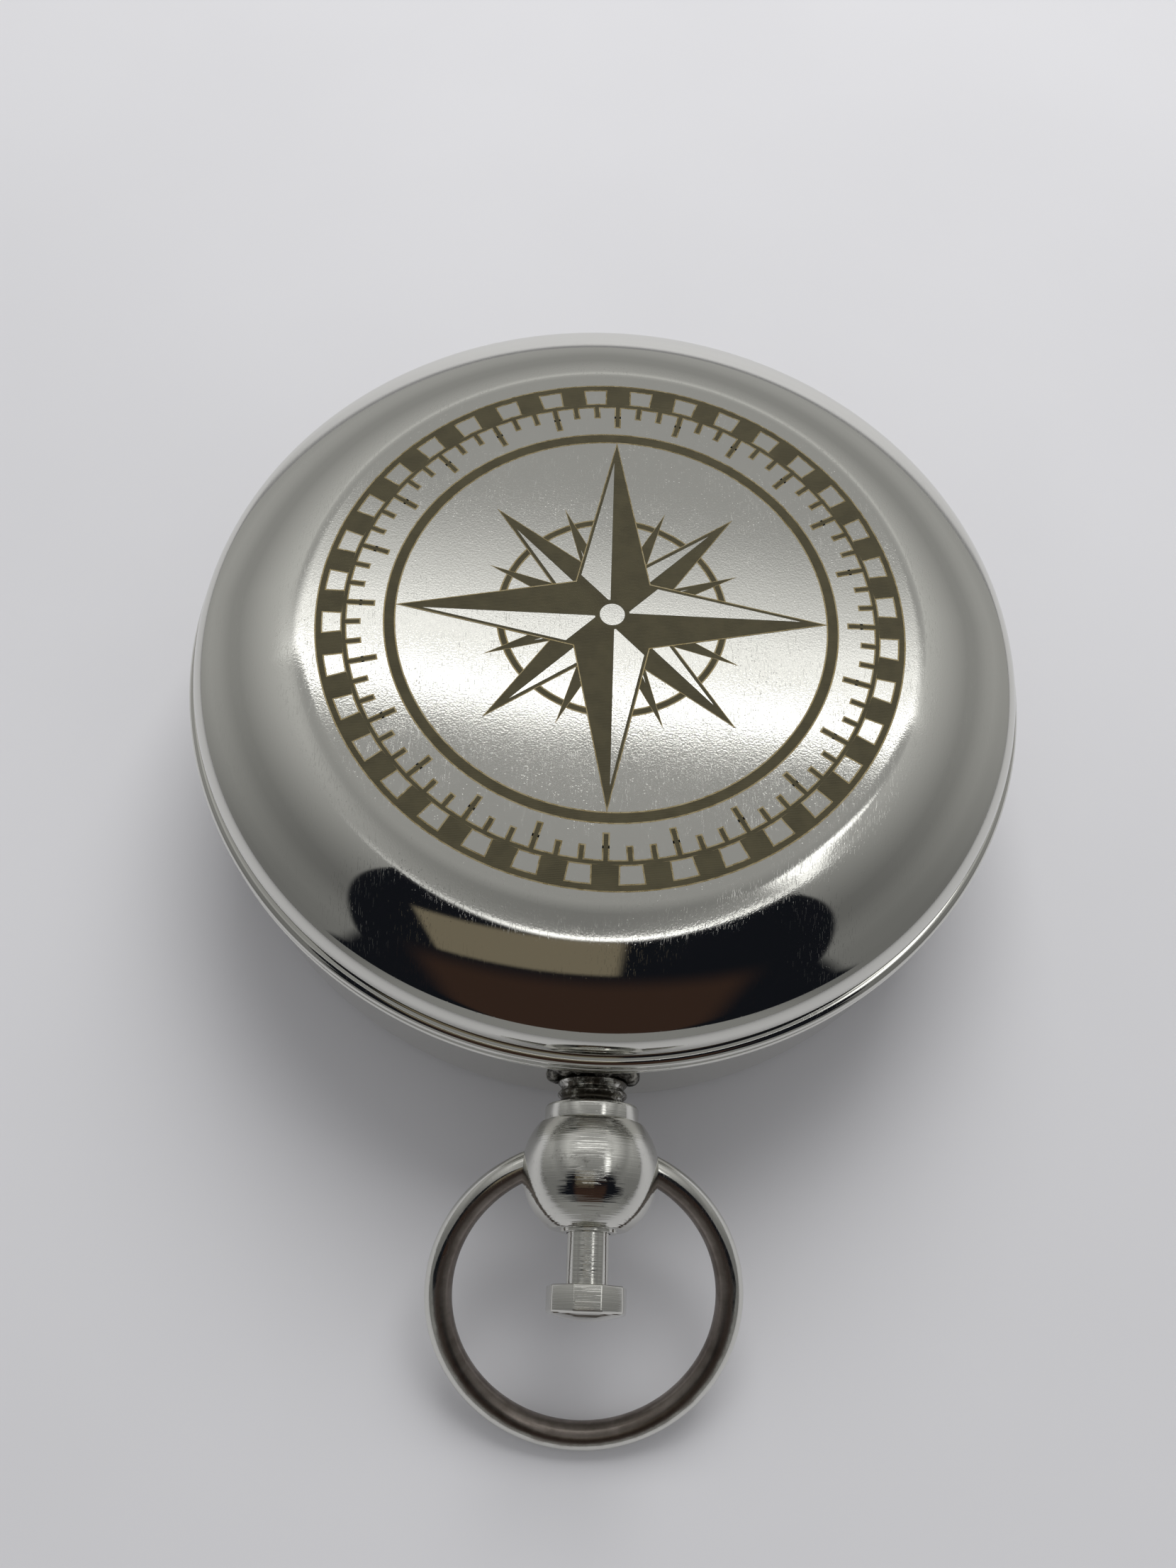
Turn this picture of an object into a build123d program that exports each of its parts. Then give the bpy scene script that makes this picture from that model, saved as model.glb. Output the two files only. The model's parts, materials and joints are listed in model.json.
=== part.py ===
from build123d import *
import math
import os

# Closed pocket compass. Origin at the centre of the flat base, pendant towards -Y, hinge at +Y, lid up.

# Fits and cuts
running_fit = 0.06
seat_fit = 0.02
overrun = 1.0

# Case and lid sheet
rim_radius = 25.0
bead_reach = 0.5
bead_height = 0.8
rim_gap = 0.2
split_height = 10.8
lid_sheet = 0.7

# Lid top: flat, rounded crease, convex shoulder, tight corner, upright wall
lid_wall_height = 1.45
lid_flat_radius = 17.5
lid_crease_round = 3.0
lid_corner_round = 2.0
lid_shoulder_start_tilt = 14.0
lid_shoulder_end_tilt = 32.0

# Case cup
base_round = 2.6
base_sheet = 0.8
case_wall = 1.2
ledge_depth = 1.1
ledge_width = 0.4

# Hinge at the back
hinge_inset = 0.3
hinge_half_width = 4.5
knuckle_radius = 1.05
knuckle_length = 1.65
knuckle_gap = 0.1
hinge_pin_radius = 0.45
hinge_block_height = 0.45
hinge_sweep_room = 0.12
notch_side_room = 0.2

# Lid spring on the hinge pin
lid_spring_wire = 0.34
lid_spring_radius = 0.85
lid_spring_pitch = 0.8
lid_spring_turns = 3
lid_spring_leg = 1.5
lid_spring_slot_room = 0.1

# Pendant: neck, collar, ball and bush, on one axis through the case wall
pendant_drop = 2.8
neck_radius = 1.9
neck_length = 1.85
neck_inside = 0.5
neck_groove_depth = 0.22
neck_groove_width = 0.3
neck_groove_pitch = 0.55
neck_groove_count = 3
collar_radius = 2.55
collar_width = 1.0
collar_edge_round = 0.2
ball_radius = 3.68
ball_back_radius = 2.85
ball_front_flat = 1.85
ball_front_round = 0.45
spring_chamber_radius = 1.72
spring_chamber_wall = 0.85
bush_depth = 0.9
bush_lip_radius = 1.5
bush_lip = 0.12

# Button
stem_radius = 1.1
stem_showing = 2.7
head_length = 1.3
head_across = 4.2
head_sides = 9
head_dome = 0.4
head_socket_depth = 0.7
stop_ring_radius = 1.6
stop_ring_width = 0.5
stop_ring_gap = 0.05
button_travel = 1.0

# Button spring in the ball
button_spring_wire = 0.34
button_spring_radius = 1.42
button_spring_turns = 3
button_spring_seat_gap = 0.05

# Catch hook on the stem and catch plate in the lid
hook_plate = 0.6
hook_width = 3.0
hook_tail = 1.5
hook_nose = 0.5
hook_nose_height = 0.55
hook_back_room = 0.14
catch_play = 0.1
catch_lift_gap = 0.15
catch_plate_width = 5.0
catch_plate_height = 1.1
catch_plate_sheet = 0.35
catch_lip_height = 0.35
catch_lip_reach = 0.68

# Bow
bow_wire_radius = 0.75
bow_mean_radius = 7.85
bow_end_inset = 0.02
bow_pin_radius = 0.65
bow_pin_end = 2.1
bow_hole_room = 0.08

# Bowl, dial, glass and bezel
bowl_wall = 0.7
bowl_floor = 0.6
dial_sheet = 0.4
dial_room = 0.1
glass_thickness = 1.0
glass_inset = 0.2
bezel_sheet = 0.6
bezel_skirt = 0.5
bezel_skirt_drop = 0.6
bezel_lip = 1.5
bezel_slot_room = 0.4

# Needle and its pivot
post_foot_radius = 1.6
post_foot_height = 0.5
post_radius = 0.8
post_cone_height = 2.4
post_tip_radius = 0.05
needle_length = 31.0
needle_half_width = 2.1
needle_sheet = 0.3
needle_head_room = 1.3
cap_hole_radius = 1.3
cap_wall = 0.45
cap_flange_radius = 2.0
cap_flange = 0.3
cap_height = 1.0
cap_stub = 0.3
jewel_roof = 0.13
jewel_cup_radius = 0.55
jewel_cup_depth = 0.55
jewel_play = 0.04

# Radii, outside in
wall_radius = rim_radius - bead_reach
case_inner_radius = wall_radius - case_wall
ledge_outer_radius = case_inner_radius + ledge_width
lid_inner_radius = wall_radius - lid_sheet
catch_lip_edge = lid_inner_radius - seat_fit - catch_lip_reach
hook_face = catch_lip_edge - catch_play - hook_nose
bezel_skirt_outer = hook_face - hook_plate - button_travel - hook_back_room
bezel_skirt_inner = bezel_skirt_outer - bezel_skirt
bowl_radius = bezel_skirt_inner - running_fit
hinge_reach = rim_radius - hinge_inset
knuckle_room = knuckle_radius + hinge_sweep_room

# Round that carries the shoulder from the crease to the corner, and the fall of the whole top
start_lean = math.radians(lid_shoulder_start_tilt)
end_lean = math.radians(lid_shoulder_end_tilt)
crease_span = lid_crease_round * math.sin(start_lean)
corner_span = lid_corner_round * (1 - math.sin(end_lean))
shoulder_span = wall_radius - lid_flat_radius - crease_span - corner_span
shoulder_round = shoulder_span / (math.sin(end_lean) - math.sin(start_lean))
shoulder_fall = shoulder_round * (math.cos(start_lean) - math.cos(end_lean))
crease_fall = lid_crease_round * (1 - math.cos(start_lean))
corner_fall = lid_corner_round * math.cos(end_lean)

# Heights that follow from the sizes above
case_top = split_height - rim_gap / 2
lid_bottom = split_height + rim_gap / 2
lid_top_height = split_height + lid_wall_height + corner_fall + shoulder_fall + crease_fall
pendant_height = split_height - pendant_drop
ledge_height = case_top - ledge_depth
glass_top = ledge_height + bezel_sheet
bowl_top = glass_top - glass_thickness
dial_bottom = base_sheet + bowl_floor
dial_top = dial_bottom + dial_sheet
needle_height = bowl_top - needle_head_room - cap_height - needle_sheet
cap_ceiling = needle_height + needle_sheet + cap_height - cap_wall
jewel_cup_top = cap_ceiling - jewel_roof
post_tip_height = jewel_cup_top - jewel_play

# Distances of the pendant's pieces in front of the case axis
collar_start = wall_radius + neck_length
ball_back = collar_start + collar_width
ball_reach = ball_back + math.sqrt(ball_radius ** 2 - ball_back_radius ** 2)
front_round_depth = math.sqrt((ball_radius - ball_front_round) ** 2 - ball_front_flat ** 2)
ball_front = ball_reach + front_round_depth + ball_front_round
spring_chamber_back = ball_back + spring_chamber_wall
head_start = ball_front + stem_showing
bow_half_chord = ball_radius - bow_end_inset
bow_centre_distance = math.sqrt(bow_mean_radius ** 2 - bow_half_chord ** 2)
ball_centre = (0, -ball_reach, pendant_height)
pendant_axis = Axis((0, 0, pendant_height), (0, 1, 0))


def at_tilt(centre, radius, tilt):
    # Point of a round in the (radius, height) plane whose normal leans outwards by tilt degrees.
    lean = math.radians(tilt)
    return (centre[0] + radius * math.sin(lean), centre[1] + radius * math.cos(lean))


def rounded_run(start, radius, first_tilt, last_tilt):
    # Arc that leaves start and turns its normal from the first tilt to the last.
    lean = math.radians(first_tilt)
    centre = (start[0] - radius * math.sin(lean), start[1] - radius * math.cos(lean))
    middle = at_tilt(centre, radius, (first_tilt + last_tilt) / 2)
    end = at_tilt(centre, radius, last_tilt)
    return ThreePointArc(start, middle, end), end


def turned(edges, plane, axis):
    # Solid of revolution from the edges of a closed outline.
    return revolve(plane * make_face(edges), axis)


def disc(radius, bottom, top):
    return Pos(0, 0, bottom) * Cylinder(radius, top - bottom, align=(Align.CENTER, Align.CENTER, Align.MIN))


def tube(outer, inner, bottom, top):
    return disc(outer, bottom, top) - disc(inner, bottom - overrun, top + overrun)


def rod_y(radius, near, far):
    # Cylinder on the pendant axis between two distances in front of the case axis.
    return extrude(Plane((0, -near, pendant_height), z_dir=(0, -1, 0)) * Circle(radius), far - near)


def rod_x(radius, left, right):
    # Cylinder on the hinge axis between two places along it.
    plane = Plane((left, hinge_reach, split_height), x_dir=(0, 1, 0), z_dir=(1, 0, 0))
    return extrude(plane * Circle(radius), right - left)


def block(x_range, y_range, z_range):
    size = [b - a for a, b in (x_range, y_range, z_range)]
    middle = [(a + b) / 2 for a, b in (x_range, y_range, z_range)]
    return Pos(*middle) * Box(*size)


def helix_point(radius, pitch, angle):
    # Place and unit direction on a helix about its own Z, at an angle in radians.
    rise = pitch / (2 * math.pi)
    place = Vector(radius * math.cos(angle), radius * math.sin(angle), rise * angle)
    direction = Vector(-radius * math.sin(angle), radius * math.cos(angle), rise).normalized()
    return place, direction


def quarter_biarc(radius, pitch, angle):
    # Two tangent arcs that carry the helix through a quarter turn.
    p, t = helix_point(radius, pitch, angle)
    q, u = helix_point(radius, pitch, angle + math.pi / 2)
    span = q - p
    both = t + u
    a = 2 * (1 - t.dot(u))
    b = 2 * span.dot(both)
    c = -span.dot(span)
    reach = (-b + math.sqrt(b * b - 4 * a * c)) / (2 * a)
    middle = (p + q) * 0.5 + (t - u) * (reach / 2)
    first = TangentArc(p, middle, tangent=t)
    second = TangentArc(middle, q, tangent=(middle - p - t * reach).normalized())
    return [first, second]


def coil_edges(radius, pitch, turns):
    edges = []
    for quarter in range(4 * turns):
        edges += quarter_biarc(radius, pitch, quarter * math.pi / 2)
    return edges


def coil_gap(radius, pitch, turns, wire):
    # Least gap between neighbouring turns, measured on points of the helix.
    steps = 48
    points = [helix_point(radius, pitch, 2 * math.pi * i / steps)[0] for i in range(steps * turns + 1)]
    apart = steps // 2
    spans = [(q - p).length for i, p in enumerate(points) for q in points[i + apart:]]
    return min(spans) - wire


def shell_outline(inset):
    # Lid section from the axis to the foot of its upright wall, moved inwards by inset.
    start_tilt = lid_shoulder_start_tilt
    end_tilt = lid_shoulder_end_tilt
    top = lid_top_height - inset
    flat = Line((0, top), (lid_flat_radius, top))
    crease, crease_end = rounded_run((lid_flat_radius, top), lid_crease_round - inset, 0, start_tilt)
    slope, slope_end = rounded_run(crease_end, shoulder_round - inset, start_tilt, end_tilt)
    corner, corner_end = rounded_run(slope_end, lid_corner_round - inset, end_tilt, 90)
    return [flat, crease, slope, corner], corner_end


def bead(top, bottom):
    # Half-round bead on the wall between two heights.
    return ThreePointArc((wall_radius, top), (rim_radius, (top + bottom) / 2), (wall_radius, bottom))


def make_lid_shell():
    outer, outer_foot = shell_outline(0)
    inner, inner_foot = shell_outline(lid_sheet)
    bead_top = lid_bottom + bead_height
    edges = outer + inner
    edges.append(Line(outer_foot, (wall_radius, bead_top)))
    edges.append(bead(bead_top, lid_bottom))
    edges.append(Line((wall_radius, lid_bottom), (lid_inner_radius, lid_bottom)))
    edges.append(Line((lid_inner_radius, lid_bottom), inner_foot))
    edges.append(Line((0, lid_top_height - lid_sheet), (0, lid_top_height)))
    shell = turned(edges, Plane.XZ, Axis.Z)
    return shell - lid_notch()


def lid_notch():
    side = hinge_half_width + notch_side_room
    depth = (case_inner_radius - overrun, rim_radius + overrun)
    top = split_height + knuckle_room + hinge_block_height
    return block((-side, side), depth, (lid_bottom - overrun, top))


def case_notch():
    side = hinge_half_width + notch_side_room
    bottom = split_height - knuckle_room - hinge_block_height
    top = case_top + overrun
    wall = tube(rim_radius + overrun, ledge_outer_radius, bottom, top)
    return wall & block((-side, side), (0, rim_radius + overrun), (bottom, top))


def make_case_back():
    bend, bend_end = rounded_run((wall_radius, base_round), base_round, 90, 180)
    inner_round = base_round - base_sheet
    inner_flat = case_inner_radius - inner_round
    fold, fold_end = rounded_run((case_inner_radius, base_sheet + inner_round), inner_round, 90, 180)
    bead_bottom = case_top - bead_height
    edges = [
        Line((0, 0), bend_end),
        bend,
        Line((wall_radius, base_round), (wall_radius, bead_bottom)),
        bead(case_top, bead_bottom),
        Line((wall_radius, case_top), (ledge_outer_radius, case_top)),
        Line((ledge_outer_radius, case_top), (ledge_outer_radius, ledge_height)),
        Line((ledge_outer_radius, ledge_height), (case_inner_radius, ledge_height)),
        Line((case_inner_radius, ledge_height), (case_inner_radius, base_sheet + inner_round)),
        fold,
        Line(fold_end, (0, base_sheet)),
        Line((0, base_sheet), (0, 0)),
    ]
    cup = turned(edges, Plane.XZ, Axis.Z)
    neck_hole = rod_y(neck_radius + seat_fit, case_inner_radius - overrun, rim_radius + overrun)
    return cup - case_notch() - neck_hole


def hinge_bays():
    # Along the hinge: start of the spring bay, then start and end of the lid's knuckle between the end ones.
    bay_start = -hinge_half_width + knuckle_length + knuckle_gap
    bay_length = lid_spring_turns * lid_spring_pitch + lid_spring_wire + 2 * knuckle_gap
    lid_start = bay_start + bay_length + knuckle_gap
    lid_end = hinge_half_width - knuckle_length - knuckle_gap
    return bay_start, lid_start, lid_end


def spring_leg_slot(x_place, side, z_range):
    # Groove for one leg, wide enough for the slant that the leg takes from the coil.
    half = lid_spring_wire / 2 + lid_spring_slot_room
    slant = side * lid_spring_leg * helix_point(lid_spring_radius, lid_spring_pitch, 0)[1].Z
    left = min(x_place, x_place + slant) - half
    right = max(x_place, x_place + slant) + half
    leg = hinge_reach - lid_spring_radius
    return block((left, right), (case_inner_radius - overrun, leg + half), z_range)


def spring_leg_places():
    # The two ends of the coil along the hinge.
    bay_start, _, _ = hinge_bays()
    first = bay_start + knuckle_gap + lid_spring_wire / 2
    return first, first + lid_spring_turns * lid_spring_pitch


def make_case_hinge_block():
    side = hinge_half_width
    bottom = split_height - knuckle_room - hinge_block_height + seat_fit
    body = tube(wall_radius, ledge_outer_radius + seat_fit, bottom, split_height - hinge_sweep_room)
    body = body & block((-side, side), (0, rim_radius), (bottom - overrun, split_height))
    body = body - rod_x(knuckle_room, knuckle_length - side, side - knuckle_length)
    for start in (-side, side - knuckle_length):
        body = body + rod_x(knuckle_radius, start, start + knuckle_length)
    body = body - spring_leg_slot(spring_leg_places()[1], 1, (bottom - overrun, split_height))
    return body - rod_x(hinge_pin_radius + seat_fit, -side - overrun, side + overrun)


def make_lid_hinge_block():
    _, lid_start, lid_end = hinge_bays()
    side = hinge_half_width
    top = split_height + knuckle_room + hinge_block_height - seat_fit
    body = tube(wall_radius, lid_inner_radius, split_height + hinge_sweep_room, top)
    body = body & block((-side, side), (0, rim_radius), (split_height, top + overrun))
    body = body - rod_x(knuckle_room, -side - overrun, lid_start)
    body = body - rod_x(knuckle_room, lid_end, side + overrun)
    body = body + rod_x(knuckle_radius, lid_start, lid_end)
    body = body - spring_leg_slot(spring_leg_places()[0], -1, (split_height, top + overrun))
    return body - rod_x(hinge_pin_radius + running_fit, -side - overrun, side + overrun)


def make_hinge_pin():
    pin = rod_x(hinge_pin_radius, -hinge_half_width, hinge_half_width)
    return chamfer(pin.edges(), hinge_pin_radius / 4)


def make_lid_spring():
    first, _ = spring_leg_places()
    # The coil's own X looks inwards, its own Y down and its own Z along the hinge.
    frame = Plane((first, hinge_reach, split_height), x_dir=(0, -1, 0), z_dir=(1, 0, 0))
    radius = lid_spring_radius
    foot, climb = helix_point(radius, lid_spring_pitch, 0)
    edges = coil_edges(radius, lid_spring_pitch, lid_spring_turns)
    end = Vector(radius, 0, lid_spring_turns * lid_spring_pitch)
    edges.insert(0, Line(foot - climb * lid_spring_leg, foot))
    edges.append(Line(end, end + climb * lid_spring_leg))
    start = Plane(origin=foot - climb * lid_spring_leg, z_dir=climb)
    wire = sweep(start * Circle(lid_spring_wire / 2), path=Wire(edges))
    gap = coil_gap(radius, lid_spring_pitch, lid_spring_turns, lid_spring_wire)
    print("lid spring gap", round(gap, 3))
    return frame * wire


def make_pendant_neck():
    inner_end = case_inner_radius - neck_inside
    neck = rod_y(neck_radius, inner_end, ball_back)
    room = collar_start - wall_radius
    for i in range(neck_groove_count):
        start = wall_radius + room - (i + 1) * neck_groove_pitch
        groove = rod_y(neck_radius + overrun, start, start + neck_groove_width)
        neck = neck - (groove - rod_y(neck_radius - neck_groove_depth, start, start + neck_groove_width))
    return neck - rod_y(stem_radius + running_fit, inner_end - overrun, ball_back + overrun)


def make_pendant_collar():
    ring = rod_y(collar_radius, collar_start, ball_back)
    edge = ring.edges().sort_by(Axis.Y)[-1]
    ring = fillet(edge, collar_edge_round)
    return ring - rod_y(neck_radius + seat_fit, collar_start - overrun, ball_back + overrun)


def make_pendant_ball():
    bore = stem_radius + running_fit
    back = (ball_back_radius, -ball_back)
    front = (ball_front_flat, -ball_front)
    lean = math.atan2(ball_front_flat, front_round_depth)
    meeting = (ball_radius * math.sin(lean), -ball_reach - ball_radius * math.cos(lean))
    middle = at_tilt((ball_front_flat, ball_reach + front_round_depth), ball_front_round, math.degrees(lean) / 2)
    skin = ThreePointArc(back, (ball_radius, -ball_reach), meeting)
    edge = ThreePointArc(meeting, (middle[0], -middle[1]), front)
    inside = Polyline(
        front,
        (spring_chamber_radius, -ball_front),
        (spring_chamber_radius, -spring_chamber_back),
        (bore, -spring_chamber_back),
        (bore, -ball_back),
        back,
    )
    ball = turned([skin, edge, inside], Plane((0, 0, pendant_height)), pendant_axis)
    floor = bow_pin_end - bow_hole_room
    for side in (-1, 1):
        mouth = Plane((side * floor, -ball_reach, pendant_height), z_dir=(side, 0, 0))
        ball = ball - extrude(mouth * Circle(bow_pin_radius + bow_hole_room), ball_radius)
    return ball


def make_stem_bush():
    fit = spring_chamber_radius - seat_fit
    bush = rod_y(fit, ball_front - bush_depth, ball_front)
    bush = bush + rod_y(bush_lip_radius, ball_front, ball_front + bush_lip)
    return bush - rod_y(stem_radius + running_fit, ball_front - bush_depth - overrun, ball_front + overrun)


def make_push_stem():
    inner_end = hook_face - hook_plate
    return rod_y(stem_radius, inner_end, head_start + head_socket_depth - seat_fit)


def make_button_head():
    # The flats are counted so that one of them faces straight up.
    corner_radius = head_across / 2 / math.cos(math.pi / head_sides / 2)
    front = Plane((0, -head_start, pendant_height), x_dir=(0, 0, 1), z_dir=(0, -1, 0))
    outline = Rot(0, 0, 180 / head_sides) * RegularPolygon(corner_radius, head_sides)
    head = extrude(front * outline, head_length + head_dome)
    tip = head_start + head_length + head_dome
    crown = (corner_radius ** 2 + head_dome ** 2) / (2 * head_dome)
    dome = Pos(0, -(tip - crown), pendant_height) * Sphere(crown)
    head = head & (dome + rod_y(corner_radius, head_start, head_start + head_length))
    return head - rod_y(stem_radius + seat_fit, head_start - overrun, head_start + head_socket_depth)


def stop_ring_places():
    front = ball_front - bush_depth - stop_ring_gap
    return front - stop_ring_width, front


def make_stem_stop_ring():
    back, front = stop_ring_places()
    ring = rod_y(stop_ring_radius, back, front)
    return ring - rod_y(stem_radius + seat_fit, back - overrun, front + overrun)


def make_button_spring():
    back, front = stop_ring_places()
    length = back - spring_chamber_back - 2 * button_spring_seat_gap
    pitch = (length - button_spring_wire) / button_spring_turns
    seat = spring_chamber_back + button_spring_seat_gap + button_spring_wire / 2
    frame = Plane((0, -seat, pendant_height), x_dir=(0, 0, 1), z_dir=(0, -1, 0))
    foot, climb = helix_point(button_spring_radius, pitch, 0)
    edges = coil_edges(button_spring_radius, pitch, button_spring_turns)
    section = Plane(origin=foot, z_dir=climb) * Circle(button_spring_wire / 2)
    wire = sweep(section, path=Wire(edges))
    gap = coil_gap(button_spring_radius, pitch, button_spring_turns, button_spring_wire)
    print("button spring gap", round(gap, 3))
    return frame * wire


def lip_heights():
    # Bottom and top of the lid's catch lip.
    bottom = lid_bottom + catch_lift_gap
    return bottom, bottom + catch_lip_height


def make_catch_hook():
    back = -(hook_face - hook_plate)
    nose_bottom = lip_heights()[1] + catch_lift_gap
    top = nose_bottom + hook_nose_height
    half = hook_width / 2
    plate = block((-half, half), (-hook_face, back), (pendant_height - hook_tail, top))
    side = Polyline(
        (-hook_face, nose_bottom),
        (-hook_face - hook_nose, nose_bottom),
        (-hook_face, top),
        close=True,
    )
    nose = extrude(Plane.YZ * make_face(side), half, both=True)
    shank = rod_y(stem_radius + seat_fit, hook_face - hook_plate - overrun, hook_face + overrun)
    return plate + nose - shank


def make_lid_catch_plate():
    bottom, top = lip_heights()
    half = catch_plate_width / 2
    outer = lid_inner_radius - seat_fit
    plate = tube(outer, outer - catch_plate_sheet, bottom, bottom + catch_plate_height)
    lip = disc(outer, bottom, top) & block((-half, half), (-rim_radius, -catch_lip_edge), (bottom, top))
    keep = block((-half, half), (-rim_radius, 0), (bottom, bottom + catch_plate_height))
    return (plate + lip) & keep


def bow_rest_angle():
    # The bow lies with its far wire on the surface that the base stands on.
    drop = pendant_height - bow_wire_radius
    return math.degrees(math.asin(drop / (bow_centre_distance + bow_mean_radius)))


def make_bow():
    # Drawn flat about the ball's centre, pointing to -Y, and then let down about the pivot.
    far = (0, -bow_centre_distance - bow_mean_radius, 0)
    left = Vector(-bow_half_chord, 0, 0)
    right = Vector(bow_half_chord, 0, 0)
    path = ThreePointArc(left, far, right)
    wire = sweep(Plane(origin=left, z_dir=path % 0) * Circle(bow_wire_radius), path=path)
    for side in (-1, 1):
        wire = wire + Pos(side * bow_half_chord, 0, 0) * Sphere(bow_wire_radius)
        pin = Plane((side * bow_pin_end, 0, 0), z_dir=(side, 0, 0)) * Circle(bow_pin_radius)
        wire = wire + extrude(pin, bow_half_chord - bow_pin_end)
    pins = Rot(0, 90, 0) * Cylinder(bow_pin_radius, 2 * (ball_radius + overrun))
    wire = wire - (Sphere(ball_radius + bow_hole_room) - pins)
    return Pos(*ball_centre) * Rot(bow_rest_angle(), 0, 0) * wire


def make_compass_bowl():
    inner = bowl_radius - bowl_wall
    return disc(bowl_radius, base_sheet, bowl_top) - disc(inner, dial_bottom, bowl_top + overrun)


def make_dial_plate():
    return disc(bowl_radius - bowl_wall - dial_room, dial_bottom, dial_top)


def make_glass():
    return disc(bowl_radius - glass_inset, bowl_top, glass_top)


def make_bezel_ring():
    outer = bezel_skirt_outer
    inner = bezel_skirt_inner
    ring = tube(outer, inner, bowl_top - bezel_skirt_drop, glass_top)
    ring = ring + tube(outer, bowl_radius - bezel_lip, glass_top, glass_top + bezel_sheet)
    ring = ring + tube(ledge_outer_radius - running_fit, inner, ledge_height, glass_top)
    half = hook_width / 2 + bezel_slot_room
    slot = block((-half, half), (-rim_radius, -outer), (ledge_height - overrun, glass_top + overrun))
    return ring - slot


def make_pivot_post():
    foot_top = dial_top + post_foot_height
    cone_bottom = post_tip_height - post_cone_height
    outline = Polyline(
        (0, dial_top),
        (post_foot_radius, dial_top),
        (post_foot_radius, foot_top),
        (post_radius, foot_top),
        (post_radius, cone_bottom),
        (post_tip_radius, post_tip_height),
        (0, post_tip_height),
        close=True,
    )
    return turned([outline], Plane.XZ, Axis.Z)


def make_needle_blade():
    reach = needle_length / 2
    outline = Polyline((0, reach), (needle_half_width, 0), (0, -reach), (-needle_half_width, 0), close=True)
    blade = extrude(Pos(0, 0, needle_height) * make_face(outline), needle_sheet)
    return blade - disc(cap_hole_radius, needle_height - overrun, needle_height + needle_sheet + overrun)


def make_needle_cap():
    blade_top = needle_height + needle_sheet
    outer = cap_hole_radius - seat_fit
    bore = outer - cap_wall
    roof = cap_ceiling + cap_wall
    outline = Polyline(
        (bore, needle_height - cap_stub),
        (outer, needle_height - cap_stub),
        (outer, blade_top),
        (cap_flange_radius, blade_top),
        (cap_flange_radius, blade_top + cap_flange),
        (outer, blade_top + cap_flange),
        (bore, roof),
        (0, roof),
        (0, cap_ceiling),
        (bore, cap_ceiling),
        close=True,
    )
    return turned([outline], Plane.XZ, Axis.Z)


def make_needle_jewel():
    radius = cap_hole_radius - seat_fit - cap_wall - seat_fit
    cup_bottom = jewel_cup_top - jewel_cup_depth
    outline = Polyline(
        (jewel_cup_radius, cup_bottom),
        (radius, cup_bottom),
        (radius, cap_ceiling),
        (0, cap_ceiling),
        (0, jewel_cup_top),
        (post_tip_radius + jewel_play, jewel_cup_top),
        close=True,
    )
    return turned([outline], Plane.XZ, Axis.Z)


pieces = {
    "case_back": make_case_back(),
    "case_hinge_block": make_case_hinge_block(),
    "hinge_pin": make_hinge_pin(),
    "pendant_neck": make_pendant_neck(),
    "pendant_collar": make_pendant_collar(),
    "pendant_ball": make_pendant_ball(),
    "stem_bush": make_stem_bush(),
    "compass_bowl": make_compass_bowl(),
    "dial_plate": make_dial_plate(),
    "pivot_post": make_pivot_post(),
    "glass": make_glass(),
    "bezel_ring": make_bezel_ring(),
    "lid_shell": make_lid_shell(),
    "lid_hinge_block": make_lid_hinge_block(),
    "lid_catch_plate": make_lid_catch_plate(),
    "lid_spring": make_lid_spring(),
    "push_stem": make_push_stem(),
    "button_head": make_button_head(),
    "catch_hook": make_catch_hook(),
    "stem_stop_ring": make_stem_stop_ring(),
    "button_spring": make_button_spring(),
    "bow": make_bow(),
    "needle_blade": make_needle_blade(),
    "needle_cap": make_needle_cap(),
    "needle_jewel": make_needle_jewel(),
}

os.makedirs("parts", exist_ok=True)
for name, piece in pieces.items():
    export_step(piece, f"parts/{name}.step")
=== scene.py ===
import bpy
import bmesh
import json
import math
from mathutils import Matrix, Vector, noise


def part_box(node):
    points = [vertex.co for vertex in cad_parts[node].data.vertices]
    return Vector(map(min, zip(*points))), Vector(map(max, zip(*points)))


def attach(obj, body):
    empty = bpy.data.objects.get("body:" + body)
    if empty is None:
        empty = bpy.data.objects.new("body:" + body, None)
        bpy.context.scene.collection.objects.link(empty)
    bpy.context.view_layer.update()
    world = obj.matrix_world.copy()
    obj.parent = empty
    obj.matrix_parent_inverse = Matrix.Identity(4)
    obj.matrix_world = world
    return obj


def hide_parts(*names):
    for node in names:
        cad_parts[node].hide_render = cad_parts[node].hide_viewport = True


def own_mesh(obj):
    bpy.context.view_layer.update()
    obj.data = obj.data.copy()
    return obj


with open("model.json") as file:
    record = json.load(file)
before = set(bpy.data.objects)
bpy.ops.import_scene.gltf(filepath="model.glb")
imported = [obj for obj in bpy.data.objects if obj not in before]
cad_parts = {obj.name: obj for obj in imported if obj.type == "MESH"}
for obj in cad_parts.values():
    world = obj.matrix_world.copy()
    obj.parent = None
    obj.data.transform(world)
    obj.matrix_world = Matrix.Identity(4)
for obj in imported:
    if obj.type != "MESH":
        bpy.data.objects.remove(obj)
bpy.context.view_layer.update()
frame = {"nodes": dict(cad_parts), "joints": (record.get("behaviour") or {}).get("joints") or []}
nodes = frame["nodes"]
mm = 0.001

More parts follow.
